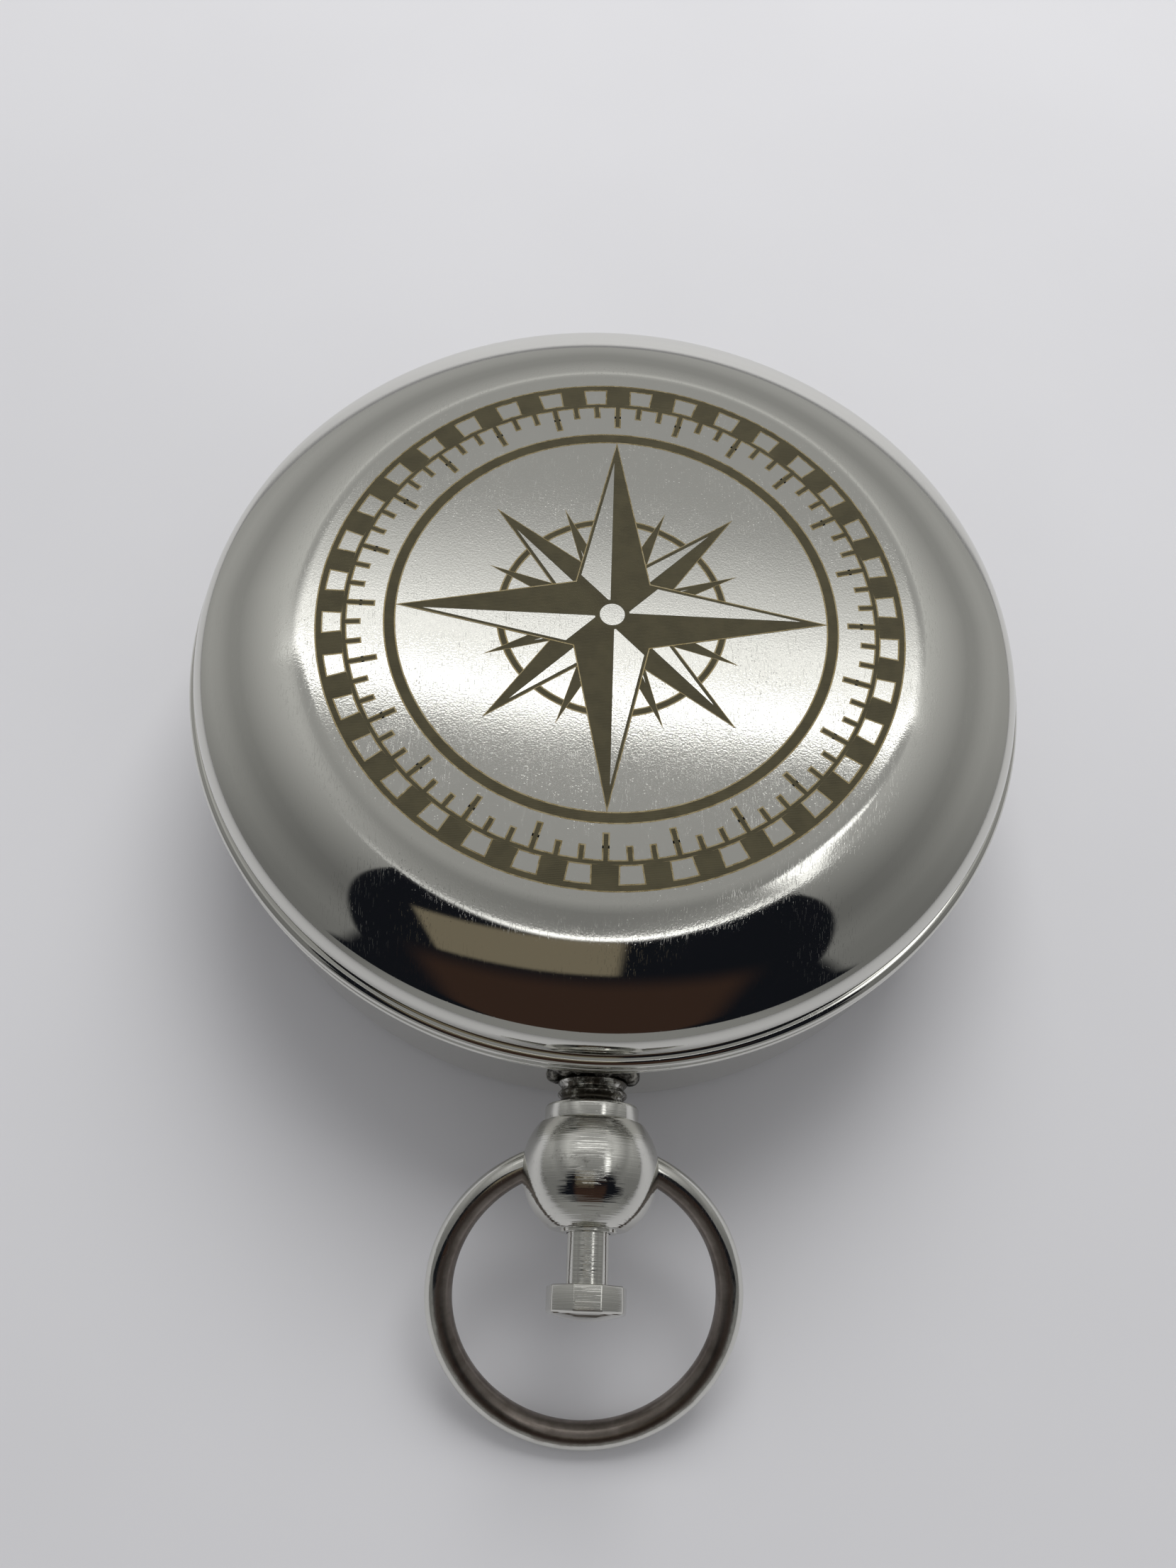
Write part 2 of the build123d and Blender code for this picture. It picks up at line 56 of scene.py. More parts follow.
# places that every piece below hangs on, all read from the frame
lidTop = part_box("lid_shell")[1].z
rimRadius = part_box("lid_shell")[1].x
ballLow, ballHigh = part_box("pendant_ball")
pendantHeight = (ballLow.z + ballHigh.z) / 2
ballRadius = (ballHigh.z - ballLow.z) / 2
joints = {j["name"]: j for j in frame["joints"]}
splitHeight = joints["lid_hinge"]["pos_m"][2]
bowPivot = joints["bow_swing"]["pos_m"]
ballReach = -bowPivot[1]


# small helpers for meshes

def linkMesh(name, verts, faces, sharpAngle=35):
    mesh = bpy.data.meshes.new(name)
    mesh.from_pydata(verts, [], faces)
    mesh.validate()
    mesh.shade_smooth()
    mesh.set_sharp_from_angle(angle=math.radians(sharpAngle))
    obj = bpy.data.objects.new(name, mesh)
    bpy.context.scene.collection.objects.link(obj)
    return obj


def arcPoints(centre, radius, firstTilt, lastTilt, steps):
    # tilt is how far the normal leans from the axis, in degrees
    tilts = [math.radians(firstTilt + (lastTilt - firstTilt) * i / steps) for i in range(steps + 1)]
    return [(centre[0] + radius * math.sin(t), centre[1] + radius * math.cos(t)) for t in tilts]


def lathe(name, profile, place=Matrix.Identity(4), steps=192, closed=False):
    # profile is (radius, height); the loop is closed, or starts and ends on the axis
    verts, rings = [], []
    for radius, height in profile:
        if radius < 1e-9:
            rings.append([len(verts)] * steps)
            verts.append(Vector((0, 0, height)))
            continue
        rings.append(list(range(len(verts), len(verts) + steps)))
        verts += [roundPoint(radius, 2 * math.pi * i / steps, height) for i in range(steps)]
    pairs = list(zip(rings, rings[1:]))
    if closed:
        pairs.append((rings[-1], rings[0]))
    faces = []
    for low, high in pairs:
        for i in range(steps):
            k = (i + 1) % steps
            # a corner on the axis counts once
            faces.append(list(dict.fromkeys((low[i], low[k], high[k], high[i]))))
    obj = linkMesh(name, [place @ v for v in verts], faces)
    faceOutwards(obj)
    return obj


def faceOutwards(obj, sharpAngle=35):
    work = bmesh.new()
    work.from_mesh(obj.data)
    bmesh.ops.recalc_face_normals(work, faces=work.faces)
    work.to_mesh(obj.data)
    work.free()
    obj.data.shade_smooth()
    obj.data.set_sharp_from_angle(angle=math.radians(sharpAngle))


def settle(obj, sharpAngle=35):
    # modifiers become plain mesh
    graph = bpy.context.evaluated_depsgraph_get()
    mesh = bpy.data.meshes.new_from_object(obj.evaluated_get(graph))
    obj.modifiers.clear()
    obj.data = mesh
    mesh.shade_smooth()
    mesh.set_sharp_from_angle(angle=math.radians(sharpAngle))
    return obj


def tubeFaces(rings, sides, closed=False):
    # quads between neighbouring rings of points, with flat ends unless the tube meets itself
    faces = []
    for i in range(rings if closed else rings - 1):
        n = (i + 1) % rings
        for k in range(sides):
            m = (k + 1) % sides
            faces.append((i * sides + k, i * sides + m, n * sides + m, n * sides + k))
    if not closed:
        faces.append(tuple(range(sides)))
        faces.append(tuple(range((rings - 1) * sides, rings * sides)))
    return faces


def roundPoint(radius, turn, height=0.0):
    return Vector((radius * math.cos(turn), radius * math.sin(turn), height))


def boxMesh(name, low, high):
    xs, ys, zs = zip(low, high)
    corners = [Vector((x, y, z)) for x in xs for y in ys for z in zs]
    faces = [(0, 1, 3, 2), (4, 6, 7, 5), (0, 4, 5, 1), (2, 3, 7, 6), (0, 2, 6, 4), (1, 5, 7, 3)]
    return linkMesh(name, corners, faces)


def cutAway(obj, low, high):
    cutter = boxMesh("cutter", low, high)
    cut = obj.modifiers.new("cut", "BOOLEAN")
    cut.operation = "DIFFERENCE"
    cut.solver = "EXACT"
    cut.object = cutter
    settle(obj)
    bpy.data.objects.remove(cutter)


def paint(obj, material):
    obj.data.materials.clear()
    obj.data.materials.append(material)
    return obj


def addOn(obj, body):
    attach(obj, body)


def standFor(obj, finish, body, slot, *names):
    # takes the place of CAD pieces
    paint(obj, finish)
    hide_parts(*names)
    addOn(obj, body)


# turned about Z, then laid along -Y on the pendant's axis
alongPendant = Matrix.Translation((0, 0, pendantHeight)) @ Matrix.Rotation(math.radians(90), 4, "X")


# shader helpers

def newMaterial(name):
    material = bpy.data.materials.new(name)
    material.use_nodes = True
    tree = material.node_tree
    return material, tree, tree.nodes["Principled BSDF"]


def node(tree, kind, **settings):
    made = tree.nodes.new(kind)
    for key, value in settings.items():
        setattr(made, key, value)
    return made


def wire(tree, start, end):
    tree.links.new(start, end)


def mathNode(tree, operation, a, b=None, clamp=False):
    made = node(tree, "ShaderNodeMath", operation=operation, use_clamp=clamp)
    for socket, value in zip(made.inputs, (a, b)):
        if value is None:
            continue
        if isinstance(value, (int, float)):
            socket.default_value = value
        else:
            wire(tree, value, socket)
    return made.outputs[0]


def times(tree, first, *others):
    for other in others:
        first = mathNode(tree, "MULTIPLY", first, other)
    return first


def plus(tree, first, *others):
    for other in others:
        first = mathNode(tree, "ADD", first, other)
    return first


def rangeNode(tree, value, fromMin, fromMax, toMin=0.0, toMax=1.0, smooth=True):
    made = node(tree, "ShaderNodeMapRange", interpolation_type="SMOOTHSTEP" if smooth else "LINEAR")
    wire(tree, value, made.inputs["Value"])
    for name, number in zip(("From Min", "From Max", "To Min", "To Max"), (fromMin, fromMax, toMin, toMax)):
        made.inputs[name].default_value = number
    return made.outputs[0]


def mixColour(tree, factor, a, b, mode="MIX"):
    made = node(tree, "ShaderNodeMix", data_type="RGBA", blend_type=mode)
    for socket, value in ((made.inputs[0], factor), (made.inputs[6], a), (made.inputs[7], b)):
        if isinstance(value, (int, float)):
            socket.default_value = value
        elif isinstance(value, tuple):
            socket.default_value = (*value, 1.0)
        else:
            wire(tree, value, socket)
    return made.outputs[2]


def noiseNode(tree, vector, scale, detail=3.0, roughness=0.5):
    made = node(tree, "ShaderNodeTexNoise")
    made.inputs["Scale"].default_value = scale
    made.inputs["Detail"].default_value = detail
    made.inputs["Roughness"].default_value = roughness
    wire(tree, vector, made.inputs["Vector"])
    return made.outputs["Fac"]


def mapped(tree, vector, turn=(0, 0, 0), scale=(1, 1, 1)):
    made = node(tree, "ShaderNodeMapping")
    made.inputs["Rotation"].default_value = [math.radians(a) for a in turn]
    made.inputs["Scale"].default_value = scale
    wire(tree, vector, made.inputs["Vector"])
    return made.outputs[0]


def objectCoords(tree):
    return node(tree, "ShaderNodeTexCoord").outputs["Object"]


def splitAxes(tree, vector):
    made = node(tree, "ShaderNodeSeparateXYZ")
    wire(tree, vector, made.inputs[0])
    return made.outputs


def surface(tree, shader, colour, roughness, metallic=1.0):
    wire(tree, colour, shader.inputs["Base Color"])
    wire(tree, roughness, shader.inputs["Roughness"])
    shader.inputs["Metallic"].default_value = metallic


def bumpInto(tree, shader, height, strength, distance):
    made = node(tree, "ShaderNodeBump")
    made.inputs["Strength"].default_value = strength
    made.inputs["Distance"].default_value = distance
    wire(tree, height, made.inputs["Height"])
    wire(tree, made.outputs[0], shader.inputs["Normal"])


# groups that several finishes share

def newGroup(name, inputs, outputs):
    group = bpy.data.node_groups.new(name, "ShaderNodeTree")
    for label, value in inputs:
        socket = group.interface.new_socket(label, in_out="INPUT", socket_type="NodeSocketFloat")
        socket.default_value = value
    for label in outputs:
        group.interface.new_socket(label, in_out="OUTPUT", socket_type="NodeSocketFloat")
    return group, group.nodes.new("NodeGroupInput"), group.nodes.new("NodeGroupOutput")


def placeGroup(tree, group, **values):
    made = node(tree, "ShaderNodeGroup")
    made.node_tree = group
    for key, value in values.items():
        made.inputs[key].default_value = value
    return made


scratchMarks = {"angles": (12, 37, 68, 103, 149), "fine": 16000.0, "long": 1500.0, "patch": 420.0}


def makeScratchGroup():
    # hairlines in a few directions, broken up by a slow noise
    group, start, end = newGroup("handlingScratches", [("Density", 0.5)], ["Scratches"])
    coords = objectCoords(group)
    total = None
    for angle in scratchMarks["angles"]:
        spans = (scratchMarks["fine"], scratchMarks["long"], scratchMarks["long"])
        line = noiseNode(group, mapped(group, coords, (0, 0, angle), spans), 1.0, 1.0)
        thin = rangeNode(group, line, 0.68, 0.72)
        patch = noiseNode(group, mapped(group, coords, (0, angle, 0)), scratchMarks["patch"], 2.0)
        streak = times(group, thin, rangeNode(group, patch, 0.42, 0.62))
        total = streak if total is None else mathNode(group, "MAXIMUM", total, streak)
    wire(group, times(group, total, start.outputs["Density"]), end.inputs["Scratches"])
    return group


def makePitGroup():
    # tiny pits and blisters in the plating
    group, start, end = newGroup("platingPits", [("Amount", 1.0), ("Scale", 3500.0)], ["Pits", "Haze"])
    coords = objectCoords(group)
    cells = node(group, "ShaderNodeTexVoronoi")
    wire(group, coords, cells.inputs["Vector"])
    wire(group, start.outputs["Scale"], cells.inputs["Scale"])
    dot = rangeNode(group, cells.outputs["Distance"], 0.18, 0.34, 1.0, 0.0)
    split = node(group, "ShaderNodeSeparateColor")
    wire(group, cells.outputs["Color"], split.inputs[0])
    some = rangeNode(group, split.outputs[0], 0.72, 0.8)
    patch = rangeNode(group, noiseNode(group, coords, 260, 3.0), 0.42, 0.62)
    wire(group, times(group, dot, some, patch, start.outputs["Amount"]), end.inputs["Pits"])
    wire(group, noiseNode(group, coords, 120, 4.0, 0.6), end.inputs["Haze"])
    return group


scratchGroup = makeScratchGroup()
pitGroup = makePitGroup()

nickelLook = {
    "colour": (0.692, 0.688, 0.645), "dull": (0.52, 0.515, 0.475), "grime": (0.075, 0.068, 0.055),
    "scratches": 0.5, "pits": 0.8, "pitScale": 4200.0, "wearBlur": 0.15, "wearDull": 0.35, "relief": 0.1,
}
fineBump = 0.02 * mm
latheBump = 0.04 * mm


def distanceFromAxis(tree, coords):
    x, y, z = splitAxes(tree, coords)
    return mathNode(tree, "SQRT", plus(tree, times(tree, x, x), times(tree, y, y)))


def makeLidNickel():
    # mirror plate on the shoulder, a hazier and more handled flat on top
    s = lidFinish
    material, tree, shader = newMaterial("lidNickel")
    coords = objectCoords(tree)
    flat = rangeNode(tree, distanceFromAxis(tree, coords), s["flat"], s["flat"] + s["fade"], 1.0, 0.0)
    marks = placeGroup(tree, scratchGroup, Density=s["scratches"]).outputs[0]
    pits = placeGroup(tree, pitGroup, Amount=nickelLook["pits"], Scale=s["pitScale"])
    wear = mathNode(tree, "ADD", marks, pits.outputs["Pits"], clamp=True)
    wear = times(tree, wear, rangeNode(tree, flat, 0, 1, s["shoulderWear"], 1.0))
    haze = times(tree, rangeNode(tree, pits.outputs["Haze"], 0.3, 0.75, 0.0, s["haze"]), flat)
    level = plus(tree, rangeNode(tree, flat, 0, 1, s["mirror"], s["satin"]), haze)
    level = plus(tree, level, times(tree, wear, s["wearBlur"]))
    colour = mixColour(tree, times(tree, wear, s["wearDull"]), nickelLook["colour"], nickelLook["dull"])
    surface(tree, shader, colour, level)
    grain = times(tree, noiseNode(tree, coords, s["grain"], 2.0), flat)
    bumpInto(tree, shader, plus(tree, grain, wear), s["relief"], fineBump)
    return material


def makeNickel(name, gloss, lines=0.0, lineScale=6000.0, grime=0.0, cloud=0.08):
    # plated brass; turned pieces carry fine lathe lines round the pendant's axis
    material, tree, shader = newMaterial(name)
    coords = objectCoords(tree)
    s = nickelLook
    marks = placeGroup(tree, scratchGroup, Density=s["scratches"]).outputs[0]
    pits = placeGroup(tree, pitGroup, Amount=s["pits"], Scale=s["pitScale"])
    wear = mathNode(tree, "ADD", marks, pits.outputs["Pits"], clamp=True)
    haze = rangeNode(tree, pits.outputs["Haze"], 0.35, 0.8, 0.0, cloud)
    level = plus(tree, haze, gloss, times(tree, wear, s["wearBlur"]))
    colour = mixColour(tree, times(tree, wear, s["wearDull"]), s["colour"], s["dull"])
    if grime:
        # more of it from the same noise as the threshold falls
        edge = 0.62 - 0.35 * grime
        blotch = rangeNode(tree, noiseNode(tree, coords, 1300, 5.0, 0.65), edge, edge + 0.2)
        colour = mixColour(tree, times(tree, blotch, min(1.0, 0.5 + grime)), colour, s["grime"])
        level = plus(tree, level, times(tree, blotch, 0.2))
    surface(tree, shader, colour, level)
    if lines:
        rings = noiseNode(tree, mapped(tree, coords, scale=(60, lineScale, 60)), 1.0, 3.0, 0.7)
        bumpInto(tree, shader, rings, lines, latheBump)
    else:
        bumpInto(tree, shader, wear, s["relief"], fineBump)
    return material


bowFinish = {"brown": (0.185, 0.158, 0.137), "tan": (0.28, 0.247, 0.22), "gloss": (0.1, 0.3), "relief": 0.12}


def makeBowNickel():
    # plated outside, dull brown on the side of the wire that faces into the ring
    s = bowFinish
    material, tree, shader = newMaterial("bowNickel")
    coords = objectCoords(tree)
    inside = node(tree, "ShaderNodeAttribute", attribute_name="inward").outputs["Fac"]
    cloud = noiseNode(tree, coords, 900, 5.0, 0.6)
    # brown on the wire's inner side, with a noisy edge
    edge = plus(tree, inside, rangeNode(tree, cloud, 0.2, 0.8, -0.25, 0.25, smooth=False))
    inwardBrown = rangeNode(tree, edge, -0.45, 0.1)
    marks = placeGroup(tree, scratchGroup, Density=nickelLook["scratches"]).outputs[0]
    bare = mixColour(tree, rangeNode(tree, cloud, 0.3, 0.7), s["brown"], s["tan"])
    dulled = times(tree, marks, nickelLook["wearDull"])
    plate = mixColour(tree, dulled, nickelLook["colour"], nickelLook["dull"])
    level = plus(tree, rangeNode(tree, inwardBrown, 0, 1, *s["gloss"]), times(tree, marks, nickelLook["wearBlur"]))
    surface(tree, shader, mixColour(tree, inwardBrown, plate, bare), level)
    bumpInto(tree, shader, plus(tree, cloud, marks), s["relief"], fineBump)
    return material


lidFinish = {
    "flat": 18.8 * mm, "fade": 0.8 * mm, "mirror": 0.035, "satin": 0.06, "haze": 0.03,
    "shoulderWear": 0.25, "grain": 9000.0, "relief": 0.11, "scratches": 0.8, "pitScale": 6500.0,
    "wearBlur": 0.16, "wearDull": 0.3,
}
lidNickel = makeLidNickel()
caseNickel = makeNickel("caseNickel", 0.06)
ballNickel = makeNickel("ballNickel", 0.035, lines=0.42, lineScale=8000.0, grime=0.12, cloud=0.04)
stemNickel = makeNickel("stemNickel", 0.05, lines=0.5, lineScale=9000.0, cloud=0.04)
neckNickel = makeNickel("neckNickel", 0.12, lines=0.4, lineScale=5000.0, grime=0.8)
bowNickel = makeBowNickel()
print("finishes: nickel")


def makeEngraving():
    # burnt, finely hatched laser mark
    material, tree, shader = newMaterial("engravedMark")
    coords = objectCoords(tree)
    hatch = node(tree, "ShaderNodeTexWave", bands_direction="Y")
    hatch.inputs["Scale"].default_value = 3200.0
    hatch.inputs["Distortion"].default_value = 0.6
    wire(tree, coords, hatch.inputs["Vector"])
    blotch = noiseNode(tree, coords, 900, 3.0)
    base = mixColour(tree, rangeNode(tree, blotch, 0.3, 0.7), (0.060, 0.052, 0.028), (0.098, 0.086, 0.048))
    colour = mixColour(tree, times(tree, hatch.outputs["Fac"], 0.5), base, (0.125, 0.110, 0.065))
    surface(tree, shader, colour, rangeNode(tree, blotch, 0.2, 0.8, 0.38, 0.55), 0.55)
    bumpInto(tree, shader, hatch.outputs["Fac"], 0.3, fineBump / 2)
    return material


def makeBurntEdge():
    # straw-coloured heat tint round the mark
    material, tree, shader = newMaterial("burntEdge")
    coords = objectCoords(tree)
    blotch = noiseNode(tree, coords, 2500, 3.0)
    tint = mixColour(tree, rangeNode(tree, blotch, 0.3, 0.7), (0.30, 0.235, 0.11), (0.46, 0.39, 0.24))
    surface(tree, shader, tint, rangeNode(tree, blotch, 0.3, 0.7, 0.22, 0.36), 0.9)
    return material


engravedMark = makeEngraving()
burntEdge = makeBurntEdge()


# lid

lidShape = {
    "sheet": 0.7 * mm, "flat": 17.5 * mm, "crease": 3.0 * mm, "corner": 2.0 * mm,
    "startTilt": 14, "endTilt": 32, "beadReach": 0.5 * mm, "beadHeight": 0.8 * mm, "rimGap": 0.2 * mm,
    "notchSide": 4.7 * mm, "notchDepth": 3.0 * mm,
}
wallRadius = rimRadius - lidShape["beadReach"]


def beadPoints(top, bottom, steps=14):
    half = (top - bottom) / 2
    reach = lidShape["beadReach"]
    turns = [math.pi * i / steps for i in range(steps + 1)]
    return [(wallRadius + reach * math.sin(t), top - half + half * math.cos(t)) for t in turns]


def shellSection(inset):
    # same three tangent rounds as the pressed sheet: crease, shoulder, corner
    s = lidShape
    lean = {k: math.sin(math.radians(s[k])) for k in ("startTilt", "endTilt")}
    span = wallRadius - s["flat"] - s["crease"] * lean["startTilt"] - s["corner"] * (1 - lean["endTilt"])
    shoulder = span / (lean["endTilt"] - lean["startTilt"])
    points = [(0, lidTop - inset), (s["flat"] / 2, lidTop - inset)]
    start = (s["flat"], lidTop - inset)
    runs = (
        (s["crease"], 0, s["startTilt"], 12),
        (shoulder, s["startTilt"], s["endTilt"], 36),
        (s["corner"], s["endTilt"], 90, 16),
    )
    for radius, first, last, steps in runs:
        r = radius - inset
        t = math.radians(first)
        centre = (start[0] - r * math.sin(t), start[1] - r * math.cos(t))
        arc = arcPoints(centre, r, first, last, steps)
        points += arc if len(points) == 2 else arc[1:]
        start = arc[-1]
    return points


def makeLid():
    s = lidShape
    foot = splitHeight + s["rimGap"] / 2
    profile = shellSection(0) + beadPoints(foot + s["beadHeight"], foot)
    profile.append((wallRadius - s["sheet"], foot))
    profile += list(reversed(shellSection(s["sheet"])))
    obj = lathe("lidShell", profile, steps=320)
    # room for the hinge
    side = s["notchSide"]
    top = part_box("lid_hinge_block")[1].z
    cutAway(obj, (-side, rimRadius - s["notchDepth"], foot - mm), (side, rimRadius + mm, top))
    standFor(obj, lidNickel, "lid", "polished_nickel", "lid_shell")


makeLid()
print("lid")


# case

caseShape = {
    "baseRound": 2.6 * mm, "sheet": 0.8 * mm, "wall": 1.2 * mm, "ledgeDepth": 1.1 * mm,
    "ledgeWidth": 0.4 * mm, "notchDepth": 1.55 * mm,
}


def makeCase():
    s = caseShape
    top = splitHeight - lidShape["rimGap"] / 2
    inner = wallRadius - s["wall"]
    innerRound = s["baseRound"] - s["sheet"]
    flat = wallRadius - s["baseRound"]
    ledge, shelf = inner + s["ledgeWidth"], top - s["ledgeDepth"]
    profile = [(0, 0), (flat / 2, 0)]
    profile += list(reversed(arcPoints((flat, s["baseRound"]), s["baseRound"], 90, 180, 20)))
    profile += list(reversed(beadPoints(top, top - lidShape["beadHeight"])))
    profile += [(ledge, top), (ledge, shelf), (inner, shelf)]
    profile += arcPoints((inner - innerRound, s["baseRound"]), innerRound, 90, 180, 12)
    profile.append((0, s["sheet"]))
    obj = lathe("caseBack", profile, steps=320)
    side = lidShape["notchSide"]
    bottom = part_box("case_hinge_block")[0].z
    cutAway(obj, (-side, rimRadius - s["notchDepth"], bottom), (side, rimRadius + mm, top + mm))
    standFor(obj, caseNickel, "case", "polished_nickel", "case_back")


makeCase()
print("case")


# pendant

pendantShape = {
    "edge": 0.2 * mm, "grooves": 3, "grooveDepth": 0.2 * mm, "neckSteps": 48,
    "bushRadius": 1.5 * mm, "bushEdge": 0.05 * mm, "bushSeat": 0.3 * mm,
    "frontFlat": 1.85 * mm, "frontRound": 0.45 * mm, "room": 0.06 * mm,
}


def turnedRod(name, radius, near, far, bore, edge):
    # plain turned ring or rod with eased edges, between two distances in front of the case axis
    inner = radius - edge
    profile = [(bore, near), (inner, near)]
    for t in (0.4, 0.8, 1.2, math.pi / 2):
        profile.append((inner + edge * math.sin(t), near + edge - edge * math.cos(t)))
    for t in (0, 0.4, 0.8, 1.2):
        profile.append((inner + edge * math.cos(t), far - edge + edge * math.sin(t)))
    profile += [(inner, far), (bore, far)]
    return lathe(name, profile, alongPendant, 128, closed=bore > 0)


collarLow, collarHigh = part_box("pendant_collar")
neckLow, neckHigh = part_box("pendant_neck")
neckRadius = (neckHigh.x - neckLow.x) / 2
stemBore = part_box("push_stem")[1].x + pendantShape["room"]


def makeBall():
    # the front is a small flat, rounded into the ball
    flat, soft = pendantShape["frontFlat"], pendantShape["frontRound"]
    depth = math.sqrt((ballRadius - soft) ** 2 - flat ** 2)
    lean = math.degrees(math.atan2(flat, depth))
    lastTilt = 180 - math.degrees(math.acos((ballReach + ballHigh.y) / ballRadius))
    profile = [(stemBore, -ballLow.y)] + arcPoints((flat, ballReach + depth), soft, 0, lean, 8)
    profile += arcPoints((0, ballReach), ballRadius, lean, lastTilt, 60)[1:]
    profile.append((stemBore, -ballHigh.y))
    obj = lathe("pendantBall", profile, alongPendant, 192, closed=True)
    standFor(obj, ballNickel, "case", "polished_nickel", "pendant_ball")


def makeCollar():
    radius = (collarHigh.x - collarLow.x) / 2
    edge = pendantShape["edge"]
    obj = turnedRod("pendantCollar", radius, -collarHigh.y, -collarLow.y, neckRadius, edge)
    standFor(obj, ballNickel, "case", "polished_nickel", "pendant_collar")


def makeNeck():
    # soft grooves between the case wall and the collar
    s = pendantShape
    near, far = wallRadius, -collarHigh.y
    profile = [(stemBore, -neckHigh.y), (neckRadius, -neckHigh.y)]
    for i in range(s["neckSteps"] + 1):
        part = i / s["neckSteps"]
        wave = 0.5 - 0.5 * math.cos(2 * math.pi * s["grooves"] * part)
        profile.append((neckRadius - s["grooveDepth"] * wave, near + (far - near) * part))
    profile += [(neckRadius, -neckLow.y), (stemBore, -neckLow.y)]
    obj = lathe("pendantNeck", profile, alongPendant, 96, closed=True)
    standFor(obj, neckNickel, "case", "turned_nickel", "pendant_neck")


def makeBush():
    s = pendantShape
    seat = -ballLow.y - s["bushSeat"]
    front = -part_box("stem_bush")[0].y
    obj = turnedRod("stemBush", s["bushRadius"], seat, front, stemBore, s["bushEdge"])
    standFor(obj, stemNickel, "case", "turned_nickel", "stem_bush")


solderShape = {
    "ring": 2.0 * mm, "thick": 0.36 * mm, "rough": 0.3 * mm, "offWall": 0.1 * mm, "lumps": 1100.0,
    "steps": 120, "sides": 20,
}


def makeSolderFinish():
    # grey, pitted and half burnt
    material, tree, shader = newMaterial("solderCrust")
    coords = objectCoords(tree)
    blotch = noiseNode(tree, coords, 2600, 5.0, 0.65)
    colour = mixColour(tree, rangeNode(tree, blotch, 0.42, 0.66), (0.035, 0.032, 0.026), (0.34, 0.33, 0.29))
    surface(tree, shader, colour, rangeNode(tree, blotch, 0.3, 0.7, 0.55, 0.28), 0.85)
    bumpInto(tree, shader, blotch, 0.6, 3 * fineBump)
    return material


def makeSolder():
    # crust that the soldering left round the neck, against the case wall
    s = solderShape
    verts = []
    seat = Vector((0, 0, wallRadius + s["offWall"]))
    for i in range(s["steps"]):
        out = roundPoint(1.0, 2 * math.pi * i / s["steps"])
        base = seat + out * s["ring"]
        knob = 0.5 * noise.noise(base * s["lumps"] * 2.7)
        for k in range(s["sides"]):
            a = 2 * math.pi * k / s["sides"]
            skin = out * math.cos(a) + Vector((0, 0, math.sin(a)))
            lump = noise.noise((base + skin * s["thick"]) * s["lumps"]) + knob
            verts.append(alongPendant @ (base + skin * (s["thick"] + s["rough"] * lump)))
    obj = linkMesh("solderCrust", verts, tubeFaces(s["steps"], s["sides"], closed=True), 60)
    faceOutwards(obj, 60)
    paint(obj, makeSolderFinish())
    addOn(obj, "case")


makeBall()
makeCollar()
makeNeck()
makeBush()
makeSolder()
print("pendant")


# button

buttonShape = {
    "sides": 9, "edge": 0.11 * mm, "edgeAngle": 24, "dome": 0.4 * mm, "rings": 8, "stemEdge": 0.05 * mm,
}


def makeStem():
    low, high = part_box("push_stem")
    obj = turnedRod("pushStem", high.x, -high.y, -low.y, 0, buttonShape["stemEdge"])
    standFor(obj, stemNickel, "button", "turned_nickel", "push_stem")


def makeHead():
    # nine flat sides behind a shallow dome
    s = buttonShape
    sides = s["sides"]
    low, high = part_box("button_head")
    corner = high.x / math.cos(math.pi / sides / 2)
    start, tip = -high.y, -low.y
    face = tip - s["dome"]
    turns = [math.pi / 2 + math.pi / sides + 2 * math.pi * i / sides for i in range(sides)]
    work = bmesh.new()

    def ringAt(radius, reach):
        points = [(radius * math.cos(t), -reach, pendantHeight + radius * math.sin(t)) for t in turns]
        return [work.verts.new(point) for point in points]

    rings = [ringAt(corner, start), ringAt(corner, face)]
    for ring in range(1, s["rings"]):
        share = 1 - ring / s["rings"]
        rings.append(ringAt(corner * share, face + s["dome"] * (1 - share * share)))
    work.faces.new(rings[0])
    for outer, inner in zip(rings, rings[1:]):
        for i in range(sides):
            k = (i + 1) % sides
            work.faces.new((outer[i], outer[k], inner[k], inner[i]))
    crown = work.verts.new((0, -tip, pendantHeight))
    for i in range(sides):
        work.faces.new((rings[-1][i], rings[-1][(i + 1) % sides], crown))
    bmesh.ops.recalc_face_normals(work, faces=work.faces)
    mesh = bpy.data.meshes.new("buttonHead")
    work.to_mesh(mesh)
    work.free()
    obj = bpy.data.objects.new("buttonHead", mesh)
    bpy.context.scene.collection.objects.link(obj)
    soft = obj.modifiers.new("edges", "BEVEL")
    soft.width = s["edge"]
    soft.segments = 3
    soft.limit_method = "ANGLE"
    soft.angle_limit = math.radians(s["edgeAngle"])
    settle(obj, 30)
    standFor(obj, stemNickel, "button", "turned_nickel", "button_head")


makeStem()
makeHead()
print("button")


# bow

bowShape = {
    "wire": 0.75 * mm, "ring": 7.85 * mm, "endInset": 0.02 * mm, "intoBall": 5.0, "steps": 200, "sides": 32,
}


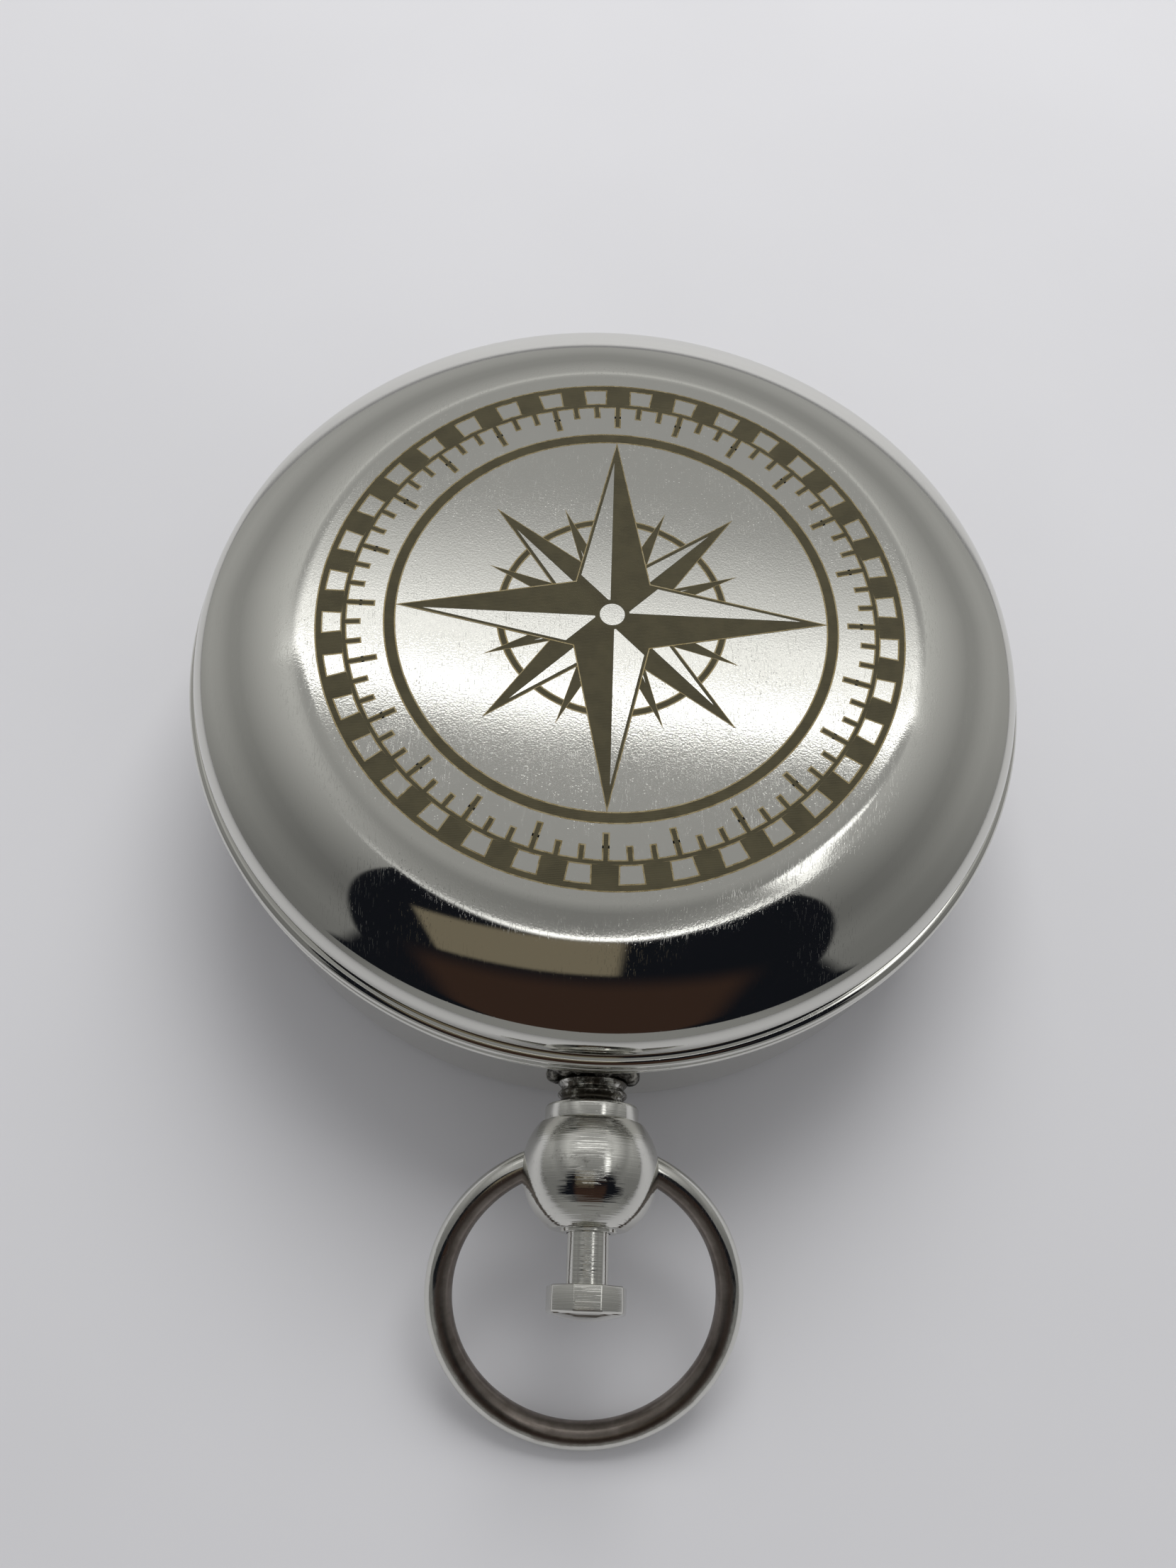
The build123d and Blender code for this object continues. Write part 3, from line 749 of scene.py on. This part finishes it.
def makeBow():
    s = bowShape
    chord = ballRadius - s["endInset"]
    reach = math.sqrt(s["ring"] ** 2 - chord ** 2)
    drop = math.asin((bowPivot[2] - s["wire"]) / (reach + s["ring"]))
    place = Matrix.Translation(bowPivot) @ Matrix.Rotation(drop, 4, "X")
    first = math.asin(chord / s["ring"]) - math.radians(s["intoBall"])
    verts, inward = [], []
    for i in range(s["steps"] + 1):
        turn = first + (2 * math.pi - 2 * first) * i / s["steps"]
        out = Vector((math.sin(turn), math.cos(turn), 0))
        centre = Vector((0, -reach, 0)) + out * s["ring"]
        for k in range(s["sides"]):
            a = 2 * math.pi * k / s["sides"]
            skin = out * math.cos(a) + Vector((0, 0, math.sin(a)))
            verts.append(place @ (centre + skin * s["wire"]))
            inward.append(-math.cos(a))
    obj = linkMesh("bow", verts, tubeFaces(s["steps"] + 1, s["sides"]), 50)
    obj.data.attributes.new("inward", "FLOAT", "POINT").data.foreach_set("value", inward)
    faceOutwards(obj, 50)
    standFor(obj, bowNickel, "bow", "polished_nickel", "bow")


makeBow()
print("bow")


# engraved wind rose on the lid

roseShape = {
    "layer": 0.0022 * mm, "halo": 0.08 * mm, "line": 0.16 * mm,
    # inner and outer radius
    "rings": ((16.55 * mm, 16.85 * mm), (15.2 * mm, 15.4 * mm), (12.45 * mm, 13 * mm), (6.3 * mm, 6.6 * mm)),
    # count, inner and outer radius, width
    "blocks": (36, 15.4 * mm, 16.56 * mm, 1.42 * mm),
    "ticks": (72, 14.4 * mm, 15.21 * mm, 0.24 * mm),
    "longTicks": (24, 13.65 * mm, 14.4 * mm, 0.24 * mm),
    # count, first angle, tip and elbow radius, elbow angle
    "points": (
        (8, 22.5, 7.6 * mm, 2.9 * mm, 11.25), (4, 45, 9.7 * mm, 3.3 * mm, 22.5),
        (4, 0, 12.2 * mm, 3 * mm, 45),
    ),
    "hub": (1.0 * mm, 0.72 * mm),
}


def flatRing(inner, outer, height, steps=256):
    turns = [2 * math.pi * i / steps for i in range(steps)]
    verts = [tuple(roundPoint(r, t, height)) for t in turns for r in (inner, outer)]
    faces = [(2 * i, 2 * i + 1, (2 * i + 3) % (2 * steps), (2 * i + 2) % (2 * steps)) for i in range(steps)]
    return verts, faces


def flatDisc(radius, height, steps=64):
    verts = [tuple(roundPoint(radius, 2 * math.pi * i / steps, height)) for i in range(steps)]
    return verts, [tuple(range(steps))]


def joinFlat(name, pieces):
    verts, faces = [], []
    for someVerts, someFaces in pieces:
        shift = len(verts)
        verts += someVerts
        faces += [tuple(v + shift for v in face) for face in someFaces]
    return linkMesh(name, verts, faces)


def faceUp(obj):
    for polygon in obj.data.polygons:
        if polygon.normal.z < 0:
            polygon.flip()
    obj.data.update()


tickInputs = {
    "Count": "Int", "Radius": "Float", "Length": "Float",
    "Width": "Float", "Height": "Float", "Finish": "Material",
}


def tickTree():
    # bars set round a circle, each lying along its radius
    tree = bpy.data.node_groups.new("tickRing", "GeometryNodeTree")
    for label, kind in tickInputs.items():
        tree.interface.new_socket(label, in_out="INPUT", socket_type="NodeSocket" + kind)
    tree.interface.new_socket("Geometry", in_out="OUTPUT", socket_type="NodeSocketGeometry")
    kinds = (
        "NodeGroupInput", "NodeGroupOutput", "GeometryNodeMeshCircle", "GeometryNodeMeshGrid",
        "GeometryNodeInputPosition", "FunctionNodeAlignRotationToVector", "GeometryNodeInstanceOnPoints",
        "GeometryNodeRealizeInstances", "ShaderNodeCombineXYZ", "GeometryNodeTransform",
        "GeometryNodeSetMaterial",
    )
    start, end, circle, bar, place, align, scatter, real, lift, move, finish = map(tree.nodes.new, kinds)
    bar.inputs["Vertices X"].default_value = 2
    bar.inputs["Vertices Y"].default_value = 2
    align.axis = "X"
    align.pivot_axis = "Z"
    for giver, output, taker, socket in (
        (start, "Count", circle, "Vertices"), (start, "Radius", circle, "Radius"),
        (start, "Length", bar, "Size X"), (start, "Width", bar, "Size Y"),
        (place, 0, align, "Vector"), (circle, "Mesh", scatter, "Points"),
        (bar, "Mesh", scatter, "Instance"), (align, 0, scatter, "Rotation"),
        (scatter, 0, real, 0), (real, 0, move, "Geometry"),
        (start, "Height", lift, "Z"), (lift, 0, move, "Translation"),
        (move, 0, finish, "Geometry"), (start, "Finish", finish, "Material"), (finish, 0, end, 0),
    ):
        tree.links.new(giver.outputs[output], taker.inputs[socket])
    return tree


ticks = tickTree()


def makeTicks(name, count, inner, outer, width, height, finish):
    mesh = bpy.data.meshes.new(name)
    obj = bpy.data.objects.new(name, mesh)
    bpy.context.scene.collection.objects.link(obj)
    modifier = obj.modifiers.new("ticks", "NODES")
    modifier.node_group = ticks
    values = {
        "Count": count, "Radius": (inner + outer) / 2, "Length": outer - inner,
        "Width": width, "Height": height, "Finish": finish,
    }
    for item in ticks.interface.items_tree:
        if item.in_out == "INPUT":
            modifier[item.identifier] = values[item.name]
    settle(obj)
    return obj


def towards(turn, distance, height):
    return Vector((distance * math.sin(turn), distance * math.cos(turn), height))


def kite(turn, reach, elbow, elbowTurn, height, grow):
    # one whole point of the star, drawn from the hub
    corners = (
        towards(turn, reach + 3 * grow, height), towards(turn + elbowTurn, elbow + grow, height),
        Vector((0, 0, height)), towards(turn - elbowTurn, elbow + grow, height),
    )
    return [tuple(c) for c in corners], [(0, 1, 2, 3)]


def brightHalf(turn, reach, elbow, elbowTurn, height, line):
    # the half of a point that is left bare inside its outline
    tip = towards(turn, reach, height)
    side = towards(turn - elbowTurn, elbow, height)
    hub = Vector((0, 0, height))
    middle = (tip + side + hub) / 3
    across = (tip - hub).cross(side - hub).length / (tip - hub).length
    shrink = 1 - 2.4 * line / across
    return [tuple(middle + (c - middle) * shrink) for c in (tip, hub, side)], [(0, 1, 2)]


def makeRose():
    s = roseShape
    halo, mark, bare = [], [], []
    step = s["layer"]
    for inner, outer in s["rings"]:
        halo.append(flatRing(inner - s["halo"], outer + s["halo"], lidTop + step))
        mark.append(flatRing(inner, outer, lidTop + 2 * step))
    level = lidTop + 2 * step
    for count, first, reach, elbow, elbowTurn in s["points"]:
        for i in range(count):
            turn = math.radians(first + 360 * i / count)
            half = math.radians(elbowTurn)
            halo.append(kite(turn, reach, elbow, half, level + step, s["halo"]))
            mark.append(kite(turn, reach, elbow, half, level + 2 * step, 0))
            bare.append(brightHalf(turn, reach, elbow, half, level + 3 * step, s["line"]))
        level += 3 * step
    mark.append(flatDisc(s["hub"][0], level + step))
    bare.append(flatDisc(s["hub"][1], level + 2 * step))
    parts = (
        ("lidRoseHalo", halo, burntEdge), ("lidRoseMark", mark, engravedMark),
        ("lidRoseBare", bare, lidNickel),
    )
    for name, pieces, finish in parts:
        obj = joinFlat(name, pieces)
        paint(obj, finish)
        faceUp(obj)
        addOn(obj, "lid")
    for name in ("blocks", "ticks", "longTicks"):
        count, inner, outer, width = s[name]
        title = "lid" + name[0].upper() + name[1:]
        passes = ((title + "Halo", s["halo"], 0.8 * step, burntEdge), (title, 0, 1.8 * step, engravedMark))
        for fullName, grow, rise, finish in passes:
            size = (inner - grow, outer + grow, width + 2 * grow)
            addOn(makeTicks(fullName, count, *size, lidTop + rise, finish), "lid")


makeRose()
print("engraving")


# inside: dial, needle, glass and the ring that holds it

def makeSatin(name, colour, gloss, metallic):
    material, tree, shader = newMaterial(name)
    coords = objectCoords(tree)
    grain = noiseNode(tree, coords, 1800, 4.0, 0.6)
    dark = tuple(c * 0.7 for c in colour)
    colour = mixColour(tree, rangeNode(tree, grain, 0.3, 0.7, 0.0, 0.4), colour, dark)
    surface(tree, shader, colour, rangeNode(tree, grain, 0.2, 0.8, gloss, gloss + 0.15), metallic)
    bumpInto(tree, shader, grain, 0.08, fineBump)
    return material


def makeGlass():
    material, tree, shader = newMaterial("crystalGlass")
    coords = objectCoords(tree)
    smear = noiseNode(tree, coords, 160, 4.0)
    wire(tree, rangeNode(tree, smear, 0.4, 0.8, 0.0, 0.04), shader.inputs["Roughness"])
    shader.inputs["Base Color"].default_value = (0.98, 0.99, 0.99, 1)
    shader.inputs["Transmission Weight"].default_value = 1.0
    shader.inputs["IOR"].default_value = 1.45
    return material


def makeNeedlePaint():
    # one half painted, the other left bright
    material, tree, shader = newMaterial("needlePaint")
    coords = objectCoords(tree)
    north = rangeNode(tree, splitAxes(tree, coords)["Y"], -0.02 * mm, 0.02 * mm)
    grain = noiseNode(tree, coords, 2200, 3.0)
    painted = mixColour(tree, rangeNode(tree, grain, 0.3, 0.7), (0.02, 0.035, 0.16), (0.035, 0.05, 0.22))
    bright = mixColour(tree, rangeNode(tree, grain, 0.3, 0.7), (0.72, 0.72, 0.72), (0.62, 0.62, 0.61))
    wire(tree, mixColour(tree, north, bright, painted), shader.inputs["Base Color"])
    wire(tree, rangeNode(tree, north, 0, 1, 1.0, 0.0), shader.inputs["Metallic"])
    wire(tree, rangeNode(tree, grain, 0.2, 0.8, 0.25, 0.4), shader.inputs["Roughness"])
    return material


brassSatin = makeSatin("brassSatin", (0.62, 0.45, 0.17), 0.22, 1.0)
steelSatin = makeSatin("springSteel", (0.42, 0.42, 0.42), 0.25, 1.0)
dialPaper = makeSatin("dialPaper", (0.82, 0.80, 0.72), 0.5, 0.0)
dialInk = makeSatin("dialInk", (0.02, 0.02, 0.022), 0.45, 0.0)
jewelRed = makeSatin("jewelRed", (0.45, 0.03, 0.06), 0.08, 0.0)
crystalGlass = makeGlass()
needlePaint = makeNeedlePaint()

plainFinishes = (
    (caseNickel, "case_hinge_block", "lid_hinge_block", "bezel_ring"),
    (steelSatin, "hinge_pin", "lid_spring", "catch_hook", "stem_stop_ring", "lid_catch_plate"),
    (brassSatin, "compass_bowl", "pivot_post", "needle_cap"),
    (jewelRed, "needle_jewel"), (dialPaper, "dial_plate"),
    (needlePaint, "needle_blade"), (crystalGlass, "glass"),
)
for finish, *names in plainFinishes:
    for name in names:
        paint(nodes[name], finish)

dialShape = {
    "lift": 0.01 * mm, "outer": 18.4 * mm, "outerLine": 0.25 * mm, "inner": 9.2 * mm, "innerLine": 0.15 * mm,
    "numbers": 15.3 * mm, "numberSize": 1.5 * mm, "letters": 11.6 * mm, "letterSize": 3.4 * mm,
    # count, inner radius, width
    "ticks": (72, 17.0 * mm, 0.12 * mm), "longTicks": (24, 16.4 * mm, 0.24 * mm),
}


def dialText(text, size, radius, turn, z):
    curve = bpy.data.curves.new("dialText", "FONT")
    curve.body = text
    curve.size = size
    curve.align_x = "CENTER"
    curve.align_y = "CENTER"
    obj = bpy.data.objects.new("dialText", curve)
    bpy.context.scene.collection.objects.link(obj)
    bpy.context.view_layer.update()
    graph = bpy.context.evaluated_depsgraph_get()
    mesh = bpy.data.meshes.new_from_object(obj.evaluated_get(graph))
    bpy.data.objects.remove(obj)
    place = Matrix.Rotation(-turn, 4, "Z") @ Matrix.Translation((0, radius, z))
    verts = [tuple(place @ v.co) for v in mesh.vertices]
    faces = [tuple(p.vertices) for p in mesh.polygons]
    bpy.data.meshes.remove(mesh)
    return verts, faces


def makeDialPrint():
    s = dialShape
    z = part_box("dial_plate")[1].z + s["lift"]
    pieces = [flatRing(s[key], s[key] + s[key + "Line"], z) for key in ("outer", "inner")]
    for i, letter in enumerate("NESW"):
        pieces.append(dialText(letter, s["letterSize"], s["letters"], math.radians(90 * i), z))
    for degrees in range(0, 360, 30):
        pieces.append(dialText(str(degrees), s["numberSize"], s["numbers"], math.radians(degrees), z))
    obj = joinFlat("dialPrint", pieces)
    paint(obj, dialInk)
    faceUp(obj)
    addOn(obj, "case")
    for name, key in (("dialTicks", "ticks"), ("dialLongTicks", "longTicks")):
        count, inner, width = s[key]
        addOn(makeTicks(name, count, inner, s["outer"], width, z, dialInk), "case")


makeDialPrint()
print("dial")

coilShape = {"wire": 0.17 * mm, "turns": 3, "steps": 48, "sides": 12, "travel": 1.0 * mm}


def makeCoil():
    # the button's spring, squeezed towards the case by the ring on the stem
    s = coilShape
    low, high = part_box("button_spring")
    middle = (low + high) / 2
    reach = (high.x - low.x) / 2 - s["wire"]
    length = high.y - low.y - 2 * s["wire"]
    climb = length / (2 * math.pi * s["turns"])
    rings = s["turns"] * s["steps"] + 1
    verts = []
    for i in range(rings):
        turn = 2 * math.pi * i / s["steps"]
        outward = Vector((math.cos(turn), 0, math.sin(turn)))
        forward = Vector((-reach * outward.z, climb, reach * outward.x)).normalized()
        centre = Vector((middle.x, low.y + s["wire"] + climb * turn, middle.z)) + outward * reach
        for k in range(s["sides"]):
            around = 2 * math.pi * k / s["sides"]
            offset = outward * math.cos(around) + forward.cross(outward) * math.sin(around)
            verts.append(centre + offset * s["wire"])
    obj = linkMesh("buttonCoil", verts, tubeFaces(rings, s["sides"]))
    faceOutwards(obj)
    standFor(obj, steelSatin, "case", "spring_steel", "button_spring")
    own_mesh(obj)


makeCoil()
print("spring")


# floor, light and camera

stageLook = {
    # far and fade paint shade into the floor: its colour drops to far times itself between the two fade
    # distances
    "floor": (0.72, 0.718, 0.735), "cloud": 0.96, "far": 0.93, "fade": (80 * mm, 145 * mm),
    "back": (0.69, 0.69, 0.705), "blend": (95 * mm, 230 * mm), "size": 1.6,
}


def mixShader(tree, share, first, second):
    made = node(tree, "ShaderNodeMixShader")
    wire(tree, share, made.inputs[0])
    wire(tree, first.outputs[0], made.inputs[1])
    wire(tree, second.outputs[0], made.inputs[2])
    return made


def makeFloor():
    s = stageLook
    half = s["size"]
    corners = [(-half, -half, 0), (half, -half, 0), (half, half, 0), (-half, half, 0)]
    obj = linkMesh("floor", corners, [(0, 1, 2, 3)])
    material, tree, shader = newMaterial("paleTable")
    coords = objectCoords(tree)
    cloud = noiseNode(tree, coords, 18, 4.0)
    dark, far = (tuple(c * s[key] for c in s["floor"]) for key in ("cloud", "far"))
    colour = mixColour(tree, rangeNode(tree, cloud, 0.3, 0.7), s["floor"], dark)
    distance = distanceFromAxis(tree, coords)
    # painted shade: the floor's colour darkens from the object outwards, standing in for the lamp's light
    # falling off with distance
    colour = mixColour(tree, rangeNode(tree, distance, *s["fade"]), colour, far)
    surface(tree, shader, colour, rangeNode(tree, cloud, 0.2, 0.8, 0.5, 0.65), 0.0)
    # far off, the table runs into the backdrop
    plain = node(tree, "ShaderNodeEmission")
    plain.inputs["Color"].default_value = (*s["back"], 1)
    seen = node(tree, "ShaderNodeLightPath").outputs["Is Camera Ray"]
    share = times(tree, seen, rangeNode(tree, distance, *s["blend"]))
    both = mixShader(tree, share, shader, plain)
    wire(tree, both.outputs[0], tree.nodes["Material Output"].inputs["Surface"])
    paint(obj, material)


# the room is seen only in the metal; x, y and z are parts of a direction one unit long
skyLook = {
    "ambient": 0.42, "coolness": 1.02,
    # height in the belt, light
    "room": (
        (0.0, 0.36), (0.2, 0.38), (0.27, 0.41), (0.34, 0.385), (0.42, 0.315), (0.49, 0.31),
        (0.57, 0.385), (0.64, 0.455), (0.71, 0.53), (0.78, 0.60), (0.85, 0.44), (0.95, 0.38),
    ),
    "warmth": 0.985, "sideDrop": 0.2, "farLift": 0.55, "farEnd": 0.55,
    "nearShade": {"y": (-0.3, 0.5), "light": 0.5}, "behind": {"y": (-0.82, -0.6), "light": 0.2},
}
# height, half width and soft edge in degrees
lampLook = {
    "lamps": (
        {"height": 57.2, "half": 0.2, "soft": 4.5, "light": 0.45},
        {"height": 58.5, "half": 0.4, "soft": 0.8, "light": 0.7},
        {"height": 61.1, "half": 0.45, "soft": 0.5, "light": 2.8},
    ),
    "slant": -0.07, "y": (-0.12, -0.06), "side": (0.3, 0.7),
    "spark": {"x": (0.38, 0.5, 0.03), "y": (-0.06, 0.22, 0.05), "z": (0.6, 0.7), "light": 1.5},
}
# across and along are measured on a ceiling one unit up
flagLook = {
    "bend": 0.75, "near": 0.325, "endless": 99, "far": (1.75, 1.9), "side": 1.5, "sideSoft": 0.12,
    "flare": 9.0, "top": 0.63, "least": 0.02, "shade": (0.007, 0.008, 0.011),
    "warm": (0.039, 0.022, 0.016), "warmAlong": (0.55, 0.75), "warmAcross": (-0.65, 0.6, 0.1),
    "line": {
        "width": 0.024, "soft": 0.012, "light": 2.0, "ends": (0.4, 0.75),
        "left": (-0.4, 0.05), "leftLight": 0.3,
    },
    "gap": {"across": (-0.52, 0.1), "along": (0.325, 0.58), "shade": (0.19, 0.163, 0.115)},
}


def between(tree, value, low, high, soft=0.02):
    rise = rangeNode(tree, value, low - soft, low + soft)
    return times(tree, rise, rangeNode(tree, value, high - soft, high + soft, 1.0, 0.0))


def makeRoom(tree, x, y, z):
    # the walls: a dark belt above the horizon, higher up at the sides than at the far end
    s = skyLook
    belt = mathNode(tree, "SUBTRACT", z, times(tree, mathNode(tree, "ABSOLUTE", x), s["sideDrop"]))
    lift = times(tree, mathNode(tree, "MINIMUM", y, s["farEnd"]), s["farLift"])
    ramp = node(tree, "ShaderNodeValToRGB")
    wire(tree, plus(tree, belt, lift), ramp.inputs[0])
    stops = ramp.color_ramp.elements
    while len(stops) < len(s["room"]):
        stops.new(0.5)
    for stop, (place, level) in zip(stops, s["room"]):
        stop.position = place
        stop.color = (level, level, level * s["warmth"], 1)
    dim = rangeNode(tree, y, *s["nearShade"]["y"], s["nearShade"]["light"], 1.0)
    dim = plus(tree, dim, rangeNode(tree, y, *s["behind"]["y"], s["behind"]["light"], 0.0))
    return mixColour(tree, 1.0, ramp.outputs[0], dim, "MULTIPLY")


def lampBand(tree, coords, lamp):
    # long lamp across the far side
    tilt = math.radians(lamp["height"])
    dot = node(tree, "ShaderNodeVectorMath", operation="DOT_PRODUCT")
    dot.inputs[1].default_value = (lampLook["slant"], -math.sin(tilt), math.cos(tilt))
    wire(tree, coords, dot.inputs[0])
    off = mathNode(tree, "ABSOLUTE", dot.outputs["Value"])
    edge = [math.sin(math.radians(a)) for a in (lamp["half"], lamp["half"] + lamp["soft"])]
    return times(tree, rangeNode(tree, off, *edge, 1.0, 0.0), lamp["light"])


def addLamps(tree, room, coords, x, y, z):
    # lamps are seen only on the far side, and fade out to left and right
    s = lampLook
    lit = plus(tree, *(lampBand(tree, coords, lamp) for lamp in s["lamps"]))
    lit = times(tree, lit, rangeNode(tree, y, *s["y"]))
    lit = times(tree, lit, rangeNode(tree, mathNode(tree, "ABSOLUTE", x), *s["side"], 1.0, 0.0))
    s = s["spark"]
    spark = times(tree, between(tree, x, *s["x"]), between(tree, y, *s["y"]))
    spark = times(tree, spark, rangeNode(tree, z, *s["z"], 0.0, s["light"]))
    return mixColour(tree, 1.0, room, plus(tree, lit, spark), "ADD")


def addFlags(tree, room, x, y, z):
    # black flags over the near side, with a bright line at their edge and a pale gap between them
    s = flagLook
    up = mathNode(tree, "MAXIMUM", z, s["least"])
    nearer = times(tree, y, -1.0)
    across = mathNode(tree, "DIVIDE", x, up)
    along = mathNode(tree, "DIVIDE", nearer, up)
    bent = plus(tree, along, times(tree, across, across, s["bend"]))
    flag = between(tree, bent, s["near"], s["endless"])
    flag = times(tree, flag, rangeNode(tree, along, *s["far"], 1.0, 0.0))
    # wider towards the top
    depth = mathNode(tree, "MAXIMUM", nearer, s["least"])
    slope = mathNode(tree, "DIVIDE", mathNode(tree, "ABSOLUTE", x), depth)
    flare = times(tree, mathNode(tree, "MAXIMUM", mathNode(tree, "SUBTRACT", z, s["top"]), 0.0), s["flare"])
    ends = (s["side"] - s["sideSoft"], s["side"] + s["sideSoft"])
    flag = times(tree, flag, rangeNode(tree, mathNode(tree, "SUBTRACT", slope, flare), *ends, 1.0, 0.0))
    deep = times(tree, rangeNode(tree, along, *s["warmAlong"]), between(tree, across, *s["warmAcross"]))
    room = mixColour(tree, flag, room, mixColour(tree, deep, s["shade"], s["warm"]))
    s = flagLook["line"]
    line = between(tree, bent, flagLook["near"] - s["width"], flagLook["near"], s["soft"])
    aside = mathNode(tree, "ABSOLUTE", across)
    line = times(tree, line, rangeNode(tree, aside, *s["ends"], s["light"], 0.0))
    line = times(tree, line, rangeNode(tree, across, *s["left"], s["leftLight"], 1.0))
    room = mixColour(tree, 1.0, room, line, "ADD")
    s = flagLook["gap"]
    gap = times(tree, between(tree, across, *s["across"]), between(tree, along, *s["along"]))
    return mixColour(tree, gap, room, s["shade"])


def makeWorld():
    world = bpy.data.worlds.new("studio")
    bpy.context.scene.world = world
    world.use_nodes = True
    tree = world.node_tree
    tree.nodes.clear()
    coords = node(tree, "ShaderNodeTexCoord").outputs["Generated"]
    x, y, z = splitAxes(tree, coords)
    room = makeRoom(tree, x, y, z)
    room = addLamps(tree, room, coords, x, y, z)
    room = addFlags(tree, room, x, y, z)
    soft, mirror, seen = (node(tree, "ShaderNodeBackground") for i in range(3))
    ambient = skyLook["ambient"]
    soft.inputs[0].default_value = (ambient, ambient, ambient * skyLook["coolness"], 1)
    wire(tree, room, mirror.inputs[0])
    seen.inputs[0].default_value = (*stageLook["back"], 1)
    light = node(tree, "ShaderNodeLightPath").outputs
    shown = mathNode(tree, "MAXIMUM", light["Is Glossy Ray"], light["Is Transmission Ray"])
    whole = mixShader(tree, light["Is Camera Ray"], mixShader(tree, shown, soft, mirror), seen)
    wire(tree, whole.outputs[0], node(tree, "ShaderNodeOutputWorld").inputs[0])


keyLamp = {"place": (0.03, 0.20, 0.26), "size": 0.22, "power": 0.74}


def makeLamp():
    data = bpy.data.lights.new("keyLamp", "AREA")
    data.size = keyLamp["size"]
    data.energy = keyLamp["power"]
    obj = bpy.data.objects.new("keyLamp", data)
    obj.location = keyLamp["place"]
    obj.rotation_euler = (-Vector(keyLamp["place"])).to_track_quat("-Z", "Y").to_euler()
    obj.visible_glossy = False
    bpy.context.scene.collection.objects.link(obj)


# the photograph's own camera, worked out from the round lid in it
cameraLook = {
    "place": (-2.71 * mm, -40.1 * mm, 62.7 * mm), "heading": 3.23, "tilt": 25.09, "roll": 5.56,
    "sensor": 36.0, "lens": 29.53, "clip": (0.005, 20.0),
}


def makeCamera():
    s = cameraLook
    data = bpy.data.cameras.new("camera")
    data.sensor_width = s["sensor"]
    data.lens = s["lens"]
    data.clip_start, data.clip_end = s["clip"]
    obj = bpy.data.objects.new("camera", data)
    turn = Matrix.Rotation(-math.radians(s["heading"]), 4, "Z")
    turn = turn @ Matrix.Rotation(math.radians(s["tilt"]), 4, "X")
    turn = turn @ Matrix.Rotation(math.radians(s["roll"]), 4, "Z")
    obj.matrix_world = Matrix.Translation(Vector(s["place"]) + Vector((0, 0, lidTop))) @ turn
    bpy.context.scene.collection.objects.link(obj)
    bpy.context.scene.camera = obj


makeFloor()
makeWorld()
makeLamp()
makeCamera()
bpy.context.scene.view_settings.view_transform = "Standard"
print("stage")
